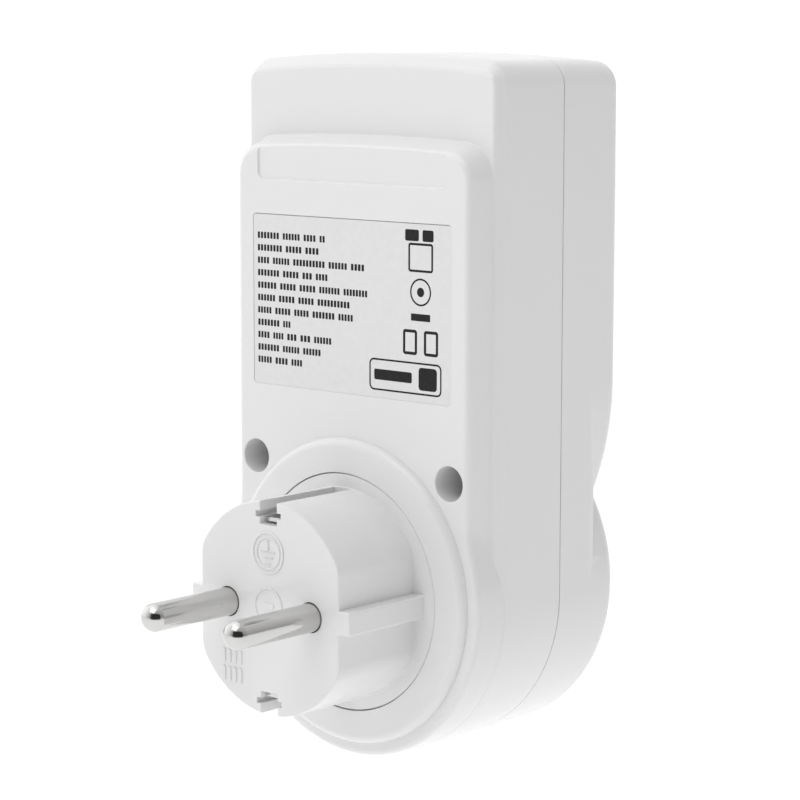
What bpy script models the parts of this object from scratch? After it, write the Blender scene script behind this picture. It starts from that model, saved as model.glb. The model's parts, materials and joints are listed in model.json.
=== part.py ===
"""Plug-in power meter: a display block over a round socket collar, with an earthed two-pin plug on the back.

The frame's origin is the centre of the plug's face. +Y is the way the plug goes into the wall, -Y is the
front, +Z is up, and +X is on the right as seen from the front. Sizes are in millimetres until mesh_object
turns them into metres.
"""

from math import acos, atan2, cos, degrees, pi, radians, sin, sqrt

import bmesh
import bpy

# Plug, to the standard earthed two-pin pattern
PIN_RADIUS = 2.4
PIN_LENGTH = 19.0
PIN_OFFSET = 9.5
PLUG_RADIUS = 18.14
PLUG_FLAT = 15.84
PLUG_RIB_REACH = 18.2
PLUG_RIB_HALF = 1.95
PLUG_LENGTH = 18.3
GROOVE_HALF = 1.9
GROOVE_FLOOR = 14.2
GROOVE_END = -18.1

# Housing planes along Y
RING_Y = -18.3
PAD_Y = -19.8
BACK_Y = -24.4
SEAM_Y = -41.2
BASE_Y = -51.4
FRONT_Y = -56.3

# Housing outline
HALF_WIDTH = 29.0
TOP_Z = 91.45
CROWN_RADIUS = 300.0
CORNER_RADIUS = 4.5
LOBE_Z = 35.7
LOBE_RADIUS = 52.0
CHAMFER_SIDE = 1.25
CHAMFER_TOP = 2.1
CHAMFER_DEPTH = 2.2
PAD_HALF = 26.4
PAD_LOBE = 28.75
PAD_TOP_Z = 75.9
PAD_CROWN = 400.0
PAD_SIDE_DRAFT = 1.1
PAD_TOP_DRAFT = 1.7
WALL = 2.0
FRONT_WALL = 2.2
GAP = 0.3

# Ring boss and insert
INSERT_RADIUS = 20.5
RING_HOLE_RADIUS = 20.75
RING_BASE_RADIUS = 26.5
FLANGE_RADIUS = 23.4

# Socket, to the matching standard pattern
SOCKET_RADIUS = 19.5
SOCKET_MOUTH_Y = -56.2
SOCKET_FLOOR_Y = -38.8
FLOOR_BACK_Y = -36.8
PIN_HOLE_RADIUS = 3.1

# Fasteners
SCREW_X = 22.24
SCREW_Z = 21.05
SCREW_HOLE_RADIUS = 2.97
SCREW_SEAT_Y = -31.0

# Display and keys
WINDOW_Z = 64.5
WINDOW_HALF = (24.0, 16.5)
KEY_ARC_RADIUS = 30.5
KEY_ANGLES = (-30.0, -10.0, 10.0, 30.0)
KEY_NAMES = ("button_mode", "button_cost", "button_down", "button_up")
DISPLAY_PCB_Y = (-45.6, -44.0)
POWER_PCB_Y = (-29.6, -28.0)
DISPLAY_POSTS = ((-21.0, 85.2), (21.0, 85.2), (-21.0, 43.5), (21.0, 43.5))
POWER_POSTS = ((-20.5, 33.0), (20.5, 33.0), (-20.5, 82.0), (20.5, 82.0))

SHUTTER_RADIUS = 12.9
CARRIER_SCREW = 10.25

PLASTIC_WHITE = ((0.80, 0.80, 0.80), 0.42, 0.0)
PLASTIC_LIGHT = ((0.66, 0.66, 0.65), 0.5, 0.0)
PLASTIC_BLACK = ((0.03, 0.03, 0.03), 0.5, 0.0)
NICKEL = ((0.72, 0.71, 0.69), 0.18, 1.0)
BRASS = ((0.72, 0.55, 0.28), 0.3, 1.0)
STEEL = ((0.55, 0.56, 0.57), 0.35, 1.0)
BOARD = ((0.05, 0.22, 0.10), 0.5, 0.0)
LABEL = ((0.70, 0.70, 0.71), 0.6, 0.0)
LENS = ((0.75, 0.79, 0.80), 0.06, 0.0)
LCD = ((0.36, 0.40, 0.34), 0.2, 0.0)
RUBBER_GREY = ((0.30, 0.30, 0.31), 0.8, 0.0)
KEY_GREY = ((0.42, 0.44, 0.46), 0.5, 0.0)
EPOXY = ((0.02, 0.02, 0.02), 0.3, 0.0)
FILM_YELLOW = ((0.75, 0.58, 0.10), 0.4, 0.0)
DISC_BLUE = ((0.06, 0.16, 0.42), 0.4, 0.0)
SHRINK_GREEN = ((0.10, 0.36, 0.20), 0.4, 0.0)
LEAD_BROWN = ((0.16, 0.07, 0.03), 0.5, 0.0)
LEAD_BLUE = ((0.04, 0.14, 0.44), 0.5, 0.0)
LEAD_RED = ((0.50, 0.05, 0.04), 0.5, 0.0)
RIBBON = ((0.55, 0.55, 0.56), 0.6, 0.0)


# --- outlines in the XZ plane ---------------------------------------------------------------------------

def arc(centre_x, centre_z, radius, start, end, steps):
    """Points on an arc, angles in degrees from +X towards +Z, both ends included."""
    return [
        (
            centre_x + radius * cos(radians(start + (end - start) * i / steps)),
            centre_z + radius * sin(radians(start + (end - start) * i / steps)),
        )
        for i in range(steps + 1)
    ]


def mirrored(right_side):
    """A closed outline from the points of its right side, bottom to top."""
    return right_side + [(-x, z) for x, z in reversed(right_side) if abs(x) > 1e-6]


def crowned_top(half, top_z, crown, corner):
    """The right-hand corner and half of a crowned top edge, from the side up to the centre line."""
    rise = sqrt((crown - corner) ** 2 - (half - corner) ** 2)
    corner_z = top_z - crown + rise
    join = degrees(atan2(rise, half - corner))
    corner_arc = arc(half - corner, corner_z, corner, 0, join, 6)
    top_arc = arc(0, top_z - crown, crown, join, 90, 4)
    return corner_arc + top_arc[1:]


def body_outline(inset, top_inset=None):
    """The housing: a half circle about the plug's axis, straight sides and a crowned top."""
    half = HALF_WIDTH - inset
    top_z = TOP_Z - (inset if top_inset is None else top_inset)
    bottom = arc(0, 0, half, -90, 0, 12)
    top = crowned_top(half, top_z, CROWN_RADIUS - inset, CORNER_RADIUS - inset)
    return mirrored(bottom + [(half, LOBE_Z)] + top)


def lobes_outline(inset):
    """The raised front: a circle about the socket, met in a waist by the display block's swelling sides."""
    half = HALF_WIDTH - inset
    lobe_x, lobe = HALF_WIDTH - LOBE_RADIUS, LOBE_RADIUS - inset
    apart = sqrt(lobe_x ** 2 + LOBE_Z ** 2)
    along = (half ** 2 - lobe ** 2 + apart ** 2) / (2 * apart)
    across = sqrt(half ** 2 - along ** 2)
    waist_x = (along * lobe_x + across * LOBE_Z) / apart
    waist_z = (along * LOBE_Z - across * lobe_x) / apart
    collar_end = degrees(atan2(waist_z, waist_x))
    block_start = degrees(atan2(waist_z - LOBE_Z, waist_x - lobe_x))
    collar = arc(0, 0, half, -90, 0, 12) + arc(0, 0, half, 0, collar_end, 5)[1:]
    block = arc(lobe_x, LOBE_Z, lobe, block_start, 0, 5)[1:]
    top = crowned_top(half, TOP_Z - inset, CROWN_RADIUS - inset, CORNER_RADIUS - inset)
    return mirrored(collar + block + top)


def pad_outline(half, lobe, top_z, corner):
    """The raised rear pad: straight sides that swell, through a small blend, into a circle about the plug."""
    blend = 3.0
    centre_z = sqrt((lobe + blend) ** 2 - (half + blend) ** 2)
    meet = degrees(atan2(centre_z, half + blend))
    bottom = arc(0, 0, lobe, -90, meet, 15)
    neck = arc(half + blend, centre_z, blend, 180 + meet, 180, 2)[1:]
    return mirrored(bottom + neck + crowned_top(half, top_z, PAD_CROWN, corner))


def pad_section(y, inset=0.0):
    """The outline of the pad's drafted wall at one depth, or that far inside it."""
    share = (PAD_Y - y) / (PAD_Y - BACK_Y)
    return pad_outline(
        PAD_HALF + PAD_SIDE_DRAFT * share - inset,
        PAD_LOBE + 0.15 * share - inset,
        PAD_TOP_Z + PAD_TOP_DRAFT * share - inset,
        4.6 + 1.3 * share - inset,
    )


def rounded_rectangle(centre_x, centre_z, half_x, half_z, corner, steps=3):
    points = []
    for turn, (side_x, side_z) in enumerate(((1, 1), (-1, 1), (-1, -1), (1, -1))):
        x = centre_x + side_x * (half_x - corner)
        z = centre_z + side_z * (half_z - corner)
        points += arc(x, z, corner, 90 * turn, 90 * turn + 90, steps)
    return points


def pill(straight_half, radius, steps=6):
    """A slot shape along X, centred on the origin."""
    return arc(straight_half, 0, radius, -90, 90, steps) + arc(-straight_half, 0, radius, 90, 270, steps)


# --- solids -----------------------------------------------------------------------------------------------

def material(finish):
    colour, roughness, metallic = finish
    name = "finish_" + "_".join(f"{round(100 * value):02d}" for value in (*colour, roughness, metallic))
    found = bpy.data.materials.get(name)
    if found:
        return found
    made = bpy.data.materials.new(name)
    made.use_nodes = True
    shader = made.node_tree.nodes["Principled BSDF"]
    shader.inputs["Base Color"].default_value = (*colour, 1.0)
    shader.inputs["Roughness"].default_value = roughness
    shader.inputs["Metallic"].default_value = metallic
    made.diffuse_color = (*colour, 1.0)
    return made


def mesh_object(name, points, faces, finish=PLASTIC_WHITE, origin=(0, 0, 0)):
    """An object from points in millimetres relative to its origin, with its faces turned outwards."""
    mesh = bpy.data.meshes.new(name)
    mesh.from_pydata([[value / 1000 for value in point] for point in points], [], faces)
    shape = bmesh.new()
    shape.from_mesh(mesh)
    bmesh.ops.recalc_face_normals(shape, faces=shape.faces)
    shape.to_mesh(mesh)
    shape.free()
    mesh.materials.append(material(finish))
    mesh.shade_smooth()
    mesh.set_sharp_from_angle(angle=radians(32))
    made = bpy.data.objects.new(name, mesh)
    made.location = [value / 1000 for value in origin]
    bpy.context.scene.collection.objects.link(made)
    return made


def loft(name, rings, finish=PLASTIC_WHITE, origin=(0, 0, 0)):
    """A closed solid through outlines of equal length, each given with its Y."""
    count = len(rings[0][0])
    points = [(x, y, z) for outline, y in rings for x, z in outline]
    faces = [list(range(count)), list(range(len(points) - count, len(points)))]
    for level in range(len(rings) - 1):
        for i in range(count):
            a = level * count + i
            b = level * count + (i + 1) % count
            faces.append([a, b, b + count, a + count])
    return mesh_object(name, points, faces, finish, origin)


def prism(name, outline, y_from, y_to, finish=PLASTIC_WHITE):
    return loft(name, [(outline, y_from), (outline, y_to)], finish)


def slab(name, low, high, finish=PLASTIC_WHITE):
    outline = [(low[0], low[2]), (high[0], low[2]), (high[0], high[2]), (low[0], high[2])]
    return prism(name, outline, low[1], high[1], finish)


def turned(name, profile, at=(0, 0), steps=32, finish=PLASTIC_WHITE, origin=None):
    """A solid of revolution about an axis along Y, from (radius, y) pairs that end on the axis or close."""
    points = []
    rows = []
    for radius, y in profile:
        if radius == 0:
            rows.append([len(points)] * steps)
            points.append((0, y, 0))
            continue
        rows.append(range(len(points), len(points) + steps))
        turns = [2 * pi * i / steps for i in range(steps)]
        points += [(radius * cos(turn), y, radius * sin(turn)) for turn in turns]
    closed = profile[0][0] > 0
    pairs = list(zip(rows, rows[1:])) + ([(rows[-1], rows[0])] if closed else [])
    faces = []
    for lower, upper in pairs:
        for i in range(steps):
            j = (i + 1) % steps
            corners = (lower[i], lower[j], upper[j], upper[i])
            faces.append(list(dict.fromkeys(corners)))
    place = origin or (at[0], 0, at[1])
    return mesh_object(name, points, faces, finish, place)


def rod(name, at, radius, y_from, y_to, steps=24, finish=PLASTIC_WHITE):
    return turned(name, [(0, y_from), (radius, y_from), (radius, y_to), (0, y_to)], at, steps, finish)


def helper(tool):
    tool.hide_render = True
    tool.display_type = "WIRE"
    return tool


def combined(target, operation, tools):
    for tool in tools:
        step = target.modifiers.new(tool.name, "BOOLEAN")
        step.operation = operation
        step.solver = "EXACT"
        step.object = helper(tool)
    return target


def fused(target, *tools):
    return combined(target, "UNION", tools)


def carved(target, *tools):
    return combined(target, "DIFFERENCE", tools)


def screw(name, at, head_y, seat_y, tip_y, head_radius, shaft_radius):
    """A pan-head screw along Y with a cross recess: the head lies between head_y and seat_y."""
    way = 1 if head_y > seat_y else -1
    profile = [
        (0, head_y),
        (head_radius * 0.7, head_y),
        (head_radius, head_y - way * 0.35 * abs(head_y - seat_y)),
        (head_radius, seat_y),
        (shaft_radius, seat_y),
        (shaft_radius, tip_y + way * shaft_radius),
        (0, tip_y),
    ]
    made = turned(name, profile, at, 12, STEEL)
    depth = 0.55 * abs(head_y - seat_y)
    bar, slot = head_radius * 0.55, head_radius * 0.16
    low, high = sorted((head_y - way * depth, head_y + way))
    for label, half_x, half_z in (("_slot_a", bar, slot), ("_slot_b", slot, bar)):
        corners = ((at[0] - half_x, low, at[1] - half_z), (at[0] + half_x, high, at[1] + half_z))
        carved(made, slab(name + label, *corners))
    return made


# --- housing ----------------------------------------------------------------------------------------------

def rear_shell():
    """Back half: wall and seam lip, raised pad, ring boss, screw towers and board posts."""
    lip_inset, lip_end = 1.15, SEAM_Y - 1.2
    rim = SEAM_Y + GAP / 2
    shell = loft("rear_shell", [
        (body_outline(lip_inset), lip_end),
        (body_outline(lip_inset), rim),
        (body_outline(0), rim),
        (body_outline(0), BACK_Y - CHAMFER_DEPTH),
        (body_outline(CHAMFER_SIDE, CHAMFER_TOP), BACK_Y),
    ])
    pad = loft("rear_shell_pad", [
        (pad_section(BACK_Y - CHAMFER_DEPTH, 0.1), BACK_Y - CHAMFER_DEPTH),
        (pad_section(BACK_Y), BACK_Y),
        (pad_section(PAD_Y - 1.0), PAD_Y - 1.0),
        (pad_section(PAD_Y - 0.3, 0.3), PAD_Y - 0.3),
        (pad_section(PAD_Y, 1.0), PAD_Y),
    ])
    ring_height = RING_Y - PAD_Y
    ring_edge = [
        (RING_BASE_RADIUS - ring_height * (1 - cos(radians(turn))), PAD_Y + ring_height * sin(radians(turn)))
        for turn in (0, 30, 60, 90)
    ]
    ring = turned("rear_shell_ring", [
        (0, PAD_Y - 1.5),
        (RING_BASE_RADIUS, PAD_Y - 1.5),
        *ring_edge,
        (0, RING_Y),
    ], steps=48)
    cavity = loft("rear_shell_cavity", [
        (body_outline(WALL), lip_end - 1),
        (body_outline(WALL), BACK_Y - WALL),
    ])
    pad_inside = pad_outline(PAD_HALF - WALL, PAD_LOBE - WALL, PAD_TOP_Z - WALL, 2.6)
    pad_cavity = loft("rear_shell_pad_cavity", [
        (pad_inside, BACK_Y - WALL - 1),
        (pad_inside, PAD_Y - WALL),
    ])
    fused(shell, pad, ring)
    carved(shell, cavity, pad_cavity)
    tower_end = -34.0
    for side in (-1, 1):
        place = (side * SCREW_X, SCREW_Z)
        tower = rod(f"rear_shell_tower_{side}", place, 4.2, PAD_Y - 1, tower_end, 24)
        fused(shell, tower)
    for number, place in enumerate(POWER_POSTS):
        start = (PAD_Y if place[1] < 75 else BACK_Y) - 1
        post = rod(f"rear_shell_post_{number}", place, 2.4, start, POWER_PCB_Y[1] + GAP, 12)
        pilot = rod(f"rear_shell_pilot_{number}", place, 1.1, start - 0.2, POWER_PCB_Y[1] - 1, 12)
        fused(shell, post)
        carved(shell, pilot)
    for side in (-1, 1):
        hole = turned(f"rear_shell_hole_{side}", [
            (0, PAD_Y + 1),
            (SCREW_HOLE_RADIUS, PAD_Y + 1),
            (SCREW_HOLE_RADIUS, SCREW_SEAT_Y),
            (1.7, SCREW_SEAT_Y),
            (1.7, tower_end - 1),
            (0, tower_end - 1),
        ], (side * SCREW_X, SCREW_Z), 24)
        carved(shell, hole)
    opening = rod("rear_shell_opening", (0, 0), RING_HOLE_RADIUS, RING_Y + 1, PAD_Y - 4, 48)
    recess_floor = PAD_Y - 0.35
    label_outline = rounded_rectangle(0, 48.9, 22.7, 14.9, 0.8)
    thumb_outline = rounded_rectangle(0, 74.7, 21.35, 5.0, 1.4)
    label = prism("rear_shell_label_recess", label_outline, recess_floor, PAD_Y + 1)
    thumb = prism("rear_shell_thumb_recess", thumb_outline, recess_floor, PAD_Y + 1)
    return carved(shell, opening, label, thumb)


def front_shell():
    """Front half: base, raised display block and socket collar, posts, window and key openings."""
    base_fillet, block_fillet = 1.6, 1.2
    half_step = 1 - cos(radians(45))
    rim = SEAM_Y - GAP / 2
    shell = loft("front_shell", [
        (body_outline(0), rim),
        (body_outline(0), BASE_Y + base_fillet),
        (body_outline(base_fillet * half_step), BASE_Y + base_fillet * half_step),
        (body_outline(base_fillet), BASE_Y),
    ])
    block = loft("front_shell_block", [
        (lobes_outline(0), rim - 3),
        (lobes_outline(0), FRONT_Y + block_fillet),
        (lobes_outline(block_fillet * half_step), FRONT_Y + block_fillet * half_step),
        (lobes_outline(block_fillet), FRONT_Y),
    ])
    rebate_end = SEAM_Y - 1.5
    cavity = loft("front_shell_cavity", [
        (body_outline(0.85), rim + 1),
        (body_outline(0.85), rebate_end),
        (body_outline(WALL), rebate_end),
        (body_outline(WALL), BASE_Y + WALL),
    ])
    block_cavity = loft("front_shell_block_cavity", [
        (lobes_outline(WALL), BASE_Y + WALL + 2),
        (lobes_outline(WALL), FRONT_Y + FRONT_WALL),
    ])
    fused(shell, block)
    carved(shell, cavity, block_cavity)
    inner = FRONT_Y + FRONT_WALL / 2
    for side in (-1, 1):
        place = (side * SCREW_X, SCREW_Z)
        fused(shell, rod(f"front_shell_tower_{side}", place, 2.9, inner, -34.3, 16))
        carved(shell, rod(f"front_shell_tower_pilot_{side}", place, 1.7, FRONT_Y + 6, -33.0, 16))
    for number, place in enumerate(DISPLAY_POSTS):
        fused(shell, rod(f"front_shell_post_{number}", place, 2.2, inner, DISPLAY_PCB_Y[0] - GAP, 12))
        carved(shell, rod(f"front_shell_pilot_{number}", place, 1.1, FRONT_Y + 3.5, DISPLAY_PCB_Y[0] + 1, 12))
    opening = rod("front_shell_socket_opening", (0, 0), 20.6, FRONT_Y - 1, FRONT_Y + 4, 48)
    recess_outline = rounded_rectangle(0, WINDOW_Z, WINDOW_HALF[0] + 0.2, WINDOW_HALF[1] + 0.2, 2.7)
    recess = prism("front_shell_window_recess", recess_outline, FRONT_Y - 1, FRONT_Y + 1.3)
    window_outline = rounded_rectangle(0, WINDOW_Z, 21.8, 14.3, 1.5)
    window = prism("front_shell_window", window_outline, FRONT_Y - 1, FRONT_Y + 4)
    carved(shell, opening, recess, window)
    for name, angle in zip(KEY_NAMES, KEY_ANGLES):
        sections = [(1.5, 3.2, FRONT_Y - 1), (1.5, 3.2, FRONT_Y + 4)]
        carved(shell, key_solid(f"front_shell_{name}_hole", angle, sections))
    return shell


def key_solid(name, angle, sections, finish=PLASTIC_WHITE):
    """A pill-shaped solid on the key arc: sections are (half of the straight, radius, y)."""
    rest_y = sections[0][2]
    turn = radians(angle)
    rings = [(pill(straight, radius), y - rest_y) for straight, radius, y in sections]
    made = loft(name, rings, finish, (KEY_ARC_RADIUS * sin(turn), rest_y, KEY_ARC_RADIUS * cos(turn)))
    made.rotation_euler = (0, turn, 0)
    return made


def buttons():
    """Key caps: crowned face, flange behind the wall and a stem that presses the dome mat."""
    for name, angle in zip(KEY_NAMES, KEY_ANGLES):
        key_solid(name, angle, [
            (1.1, 2.1, -57.1),
            (1.4, 2.7, -56.8),
            (1.5, 2.9, -56.3),
            (1.5, 2.9, -53.8),
            (1.5, 3.4, -53.8),
            (1.5, 3.4, -52.8),
            (0.1, 1.6, -52.8),
            (0.1, 1.6, -50.4),
        ], KEY_GREY)


def label_and_window():
    prism("rating_label", rounded_rectangle(0, 48.9, 22.3, 14.5, 0.6), PAD_Y - 0.25, PAD_Y - 0.05, LABEL)
    lens = rounded_rectangle(0, WINDOW_Z, *WINDOW_HALF, 2.5)
    prism("display_window", lens, FRONT_Y + 0.1, FRONT_Y + 1.1, LENS)


def housing_screws():
    for label, side in (("left", -1), ("right", 1)):
        place = (side * SCREW_X, SCREW_Z)
        screw(f"housing_screw_{label}", place, -28.8, SCREW_SEAT_Y + 0.1, -46.0, 2.7, 1.45)


# --- plug -------------------------------------------------------------------------------------------------

def plug_outline():
    """Round plug body with side flats, each with a key rib on the centre line."""
    flat_angle = degrees(acos(PLUG_FLAT / PLUG_RADIUS))
    lower = arc(0, 0, PLUG_RADIUS, -90, -flat_angle, 7)
    upper = arc(0, 0, PLUG_RADIUS, flat_angle, 90, 7)
    rib = [
        (PLUG_FLAT, -PLUG_RIB_HALF),
        (PLUG_RIB_REACH, -PLUG_RIB_HALF),
        (PLUG_RIB_REACH, PLUG_RIB_HALF),
        (PLUG_FLAT, PLUG_RIB_HALF),
    ]
    return mirrored(lower + rib + upper)


def plug_insert():
    """Plug moulding: hollow body with earth grooves, a visible disc and the flange behind the rear shell."""
    flange_y = PAD_Y - WALL - GAP
    body = prism("plug_insert", plug_outline(), 0, -PLUG_LENGTH - 2)
    disc = turned("plug_insert_disc", [
        (0, RING_Y - 0.1),
        (INSERT_RADIUS, RING_Y - 0.1),
        (INSERT_RADIUS, flange_y),
        (FLANGE_RADIUS, flange_y),
        (FLANGE_RADIUS, flange_y - 2),
        (0, flange_y - 2),
    ], steps=48)
    fused(body, disc)
    cavity = prism("plug_insert_cavity", rounded_rectangle(0, 0, 13.7, 11.6, 3.5), -3.0, -25.0)
    rear_recess = rod("plug_insert_recess", (0, 0), 17.0, -20.0, -25.0, 32)
    strap_slot = slab("plug_insert_strap_slot", (-2.9, -25.0, -19.0), (2.9, -20.3, 19.0))
    lead_notch = slab("plug_insert_lead_notch", (-9.5, -25.0, 12.0), (-3.5, -20.5, 25.0))
    neutral_notch = slab("plug_insert_neutral_notch", (3.5, -25.0, 12.0), (9.5, -20.5, 25.0))
    carved(body, cavity, rear_recess, strap_slot, lead_notch, neutral_notch)
    for end in (-1, 1):
        floor, rim = end * GROOVE_FLOOR, end * 20.0
        undercut = (end * 15.35, end * 16.4)
        tag = "top" if end > 0 else "bottom"
        groove = slab(f"plug_insert_groove_{tag}", (-GROOVE_HALF, GROOVE_END, min(floor, rim)),
                      (GROOVE_HALF, 1.0, max(floor, rim)))
        wide = slab(f"plug_insert_undercut_{tag}", (-2.9, GROOVE_END, min(undercut)),
                    (2.9, 1.0, max(undercut)))
        passage = slab(f"plug_insert_passage_{tag}", (-GROOVE_HALF, -21.0, min(floor, end * 15.6)),
                       (GROOVE_HALF, -16.5, max(floor, end * 15.6)))
        carved(body, groove, wide, passage)
    for side in (-1, 1):
        place = (side * PIN_OFFSET, 0)
        carved(body, rod(f"plug_insert_pin_hole_{side}", place, PIN_RADIUS + 0.2, -4.0, 1.0, 24))
    return body


def pins():
    """Round pins with domed tips, a collar behind the plug's face and a rivet tail."""
    dome_y = PIN_LENGTH - PIN_RADIUS
    tip = [(PIN_RADIUS * cos(radians(a)), dome_y + PIN_RADIUS * sin(radians(a))) for a in (60, 30, 0)]
    profile = [(0, PIN_LENGTH)] + tip + [
        (PIN_RADIUS, -3.3),
        (3.8, -3.3),
        (3.8, -5.3),
        (2.0, -5.3),
        (2.0, -12.0),
        (1.5, -12.0),
        (1.5, -17.4),
        (0, -17.4),
    ]
    for label, side in (("left", -1), ("right", 1)):
        turned(f"plug_pin_{label}", profile, (side * PIN_OFFSET, 0), 24, NICKEL)
    retainer = prism("pin_retainer", rounded_rectangle(0, 0, 12.9, 6.0, 1.5), -5.6, -8.4, PLASTIC_LIGHT)
    for side in (-1, 1):
        carved(retainer, rod(f"pin_retainer_hole_{side}", (side * PIN_OFFSET, 0), 2.3, -5.0, -9.0, 16))


def strip(name, path, x_low, x_high, finish):
    """A bent strip of sheet metal: path is its outline in the (y, z) plane, carried from x_low to x_high."""
    count = len(path)
    points = [(x, y, z) for x in (x_low, x_high) for y, z in path]
    faces = [list(range(count)), list(range(count, 2 * count))]
    faces += [[i, (i + 1) % count, (i + 1) % count + count, i + count] for i in range(count)]
    return mesh_object(name, points, faces, finish)


def thick(route, thickness):
    """The closed outline of a strip that follows a route of (y, z) points, thickened to its left."""
    offset = []
    for i, (y, z) in enumerate(route):
        y_before, z_before = route[max(i - 1, 0)]
        y_after, z_after = route[min(i + 1, len(route) - 1)]
        run = (y_after - y_before, z_after - z_before)
        length = sqrt(run[0] ** 2 + run[1] ** 2)
        offset.append((y - run[1] / length * thickness, z + run[0] / length * thickness))
    return route + offset[::-1]


def earth_strap():
    """One bent strip: a cross-bar, contacts in the plug's grooves and sprung clips in the socket."""
    bar = slab("earth_strap", (-2.5, -21.4, -18.6), (2.5, -20.6, 18.6), NICKEL)
    for end in (-1, 1):
        tag = "top" if end > 0 else "bottom"
        contact = [(-21.0, 14.6), (-12.0, 14.6), (-8.0, 15.1), (-3.0, 14.6), (-1.2, 14.6)]
        clip = [(-21.0, 17.8), (-40.0, 17.8), (-47.0, 16.3), (-51.0, 15.9), (-53.5, 17.0), (-54.6, 17.9)]
        contact_path = [(y, end * z) for y, z in thick(contact, 0.7)]
        clip_path = [(y, end * z) for y, z in thick(clip, -0.7)]
        fused(
            bar,
            strip(f"earth_strap_contact_{tag}", contact_path, -1.65, 1.65, NICKEL),
            strip(f"earth_strap_clip_{tag}", clip_path, -2.4, 2.4, NICKEL),
        )
    return bar


# --- socket -----------------------------------------------------------------------------------------------

def socket_cup():
    """Outlet recess: rim, flange, wall, floor with pin holes, keys, shutter pivot and screw posts."""
    cup = turned("socket_cup", [
        (0, SOCKET_FLOOR_Y),
        (SOCKET_RADIUS, SOCKET_FLOOR_Y),
        (SOCKET_RADIUS, SOCKET_MOUTH_Y + 0.4),
        (SOCKET_RADIUS + 0.4, SOCKET_MOUTH_Y),
        (20.3, SOCKET_MOUTH_Y),
        (20.3, FRONT_Y + FRONT_WALL + GAP),
        (23.0, FRONT_Y + FRONT_WALL + GAP),
        (23.0, FRONT_Y + FRONT_WALL + GAP + 1.6),
        (21.3, FRONT_Y + FRONT_WALL + GAP + 1.6),
        (21.3, FLOOR_BACK_Y),
        (0, FLOOR_BACK_Y),
    ], steps=48, finish=PLASTIC_WHITE)
    for side in (-1, 1):
        for end in (-1, 1):
            x_span = sorted((side * 16.5, side * 20.0))
            z_span = sorted((end * 2.6, end * 8.2))
            key = slab(f"socket_cup_key_{side}_{end}", (x_span[0], -53.4, z_span[0]),
                       (x_span[1], SOCKET_FLOOR_Y + 0.5, z_span[1]))
            fused(cup, key)
    pivot = rod("socket_cup_pivot", (0, 0), 1.8, SOCKET_FLOOR_Y + 1, -31.9, 16)
    fused(cup, pivot)
    for side in (-1, 1):
        place = (side * CARRIER_SCREW, -side * CARRIER_SCREW)
        fused(cup, rod(f"socket_cup_post_{side}", place, 2.2, SOCKET_FLOOR_Y + 1, -34.8, 16))
        carved(cup, rod(f"socket_cup_pilot_{side}", place, 1.2, SOCKET_FLOOR_Y + 0.9, -34.0, 12))
        pin_hole = turned(f"socket_cup_pin_hole_{side}", [
            (0, SOCKET_FLOOR_Y - 1),
            (PIN_HOLE_RADIUS + 1.5, SOCKET_FLOOR_Y - 1),
            (PIN_HOLE_RADIUS, SOCKET_FLOOR_Y + 0.5),
            (PIN_HOLE_RADIUS, FLOOR_BACK_Y + 1),
            (0, FLOOR_BACK_Y + 1),
        ], (side * PIN_OFFSET, 0), 24)
        slot_span = sorted((side * 16.9, side * 19.1))
        slot = slab(f"socket_cup_earth_slot_{side}", (-2.9, SOCKET_FLOOR_Y - 0.5, slot_span[0]),
                    (2.9, FLOOR_BACK_Y + 1, slot_span[1]))
        carved(cup, pin_hole, slot)
    return cup


def shutter():
    """Turning shutter: a hub on the cup's pivot and two wings that close the pin holes."""
    wing = 21
    right = arc(0, 0, SHUTTER_RADIUS, -wing, wing, 6)
    upper_hub = arc(0, 0, 5.0, 40, 140, 5)
    left = arc(0, 0, SHUTTER_RADIUS, 180 - wing, 180 + wing, 6)
    lower_hub = arc(0, 0, 5.0, 220, 320, 5)
    plate = prism("socket_shutter", right + upper_hub + left + lower_hub, -36.4, -35.0, LEAD_RED)
    carved(plate, rod("socket_shutter_bore", (0, 0), 2.1, -37.0, -34.0, 16))
    return plate


def shutter_spring():
    """Torsion spring: two and a half turns of wire round the pivot, between the shutter and the carrier."""
    turns, steps, sides = 2.5, 14, 6
    coil_radius, wire_radius = 3.3, 0.25
    y_start, y_end = -34.5, -32.4
    total = int(turns * steps)
    points = []
    for i in range(total + 1):
        around = 2 * pi * i / steps
        y = y_start + (y_end - y_start) * i / total
        for k in range(sides):
            tilt = 2 * pi * k / sides
            radius = coil_radius + wire_radius * cos(tilt)
            points.append((radius * cos(around), y + wire_radius * sin(tilt), radius * sin(around)))
    faces = [list(range(sides)), list(range(total * sides, (total + 1) * sides))]
    for i in range(total):
        for k in range(sides):
            a, b = i * sides + k, i * sides + (k + 1) % sides
            faces.append([a, b, b + sides, a + sides])
    return mesh_object("shutter_spring", points, faces, STEEL)


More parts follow.
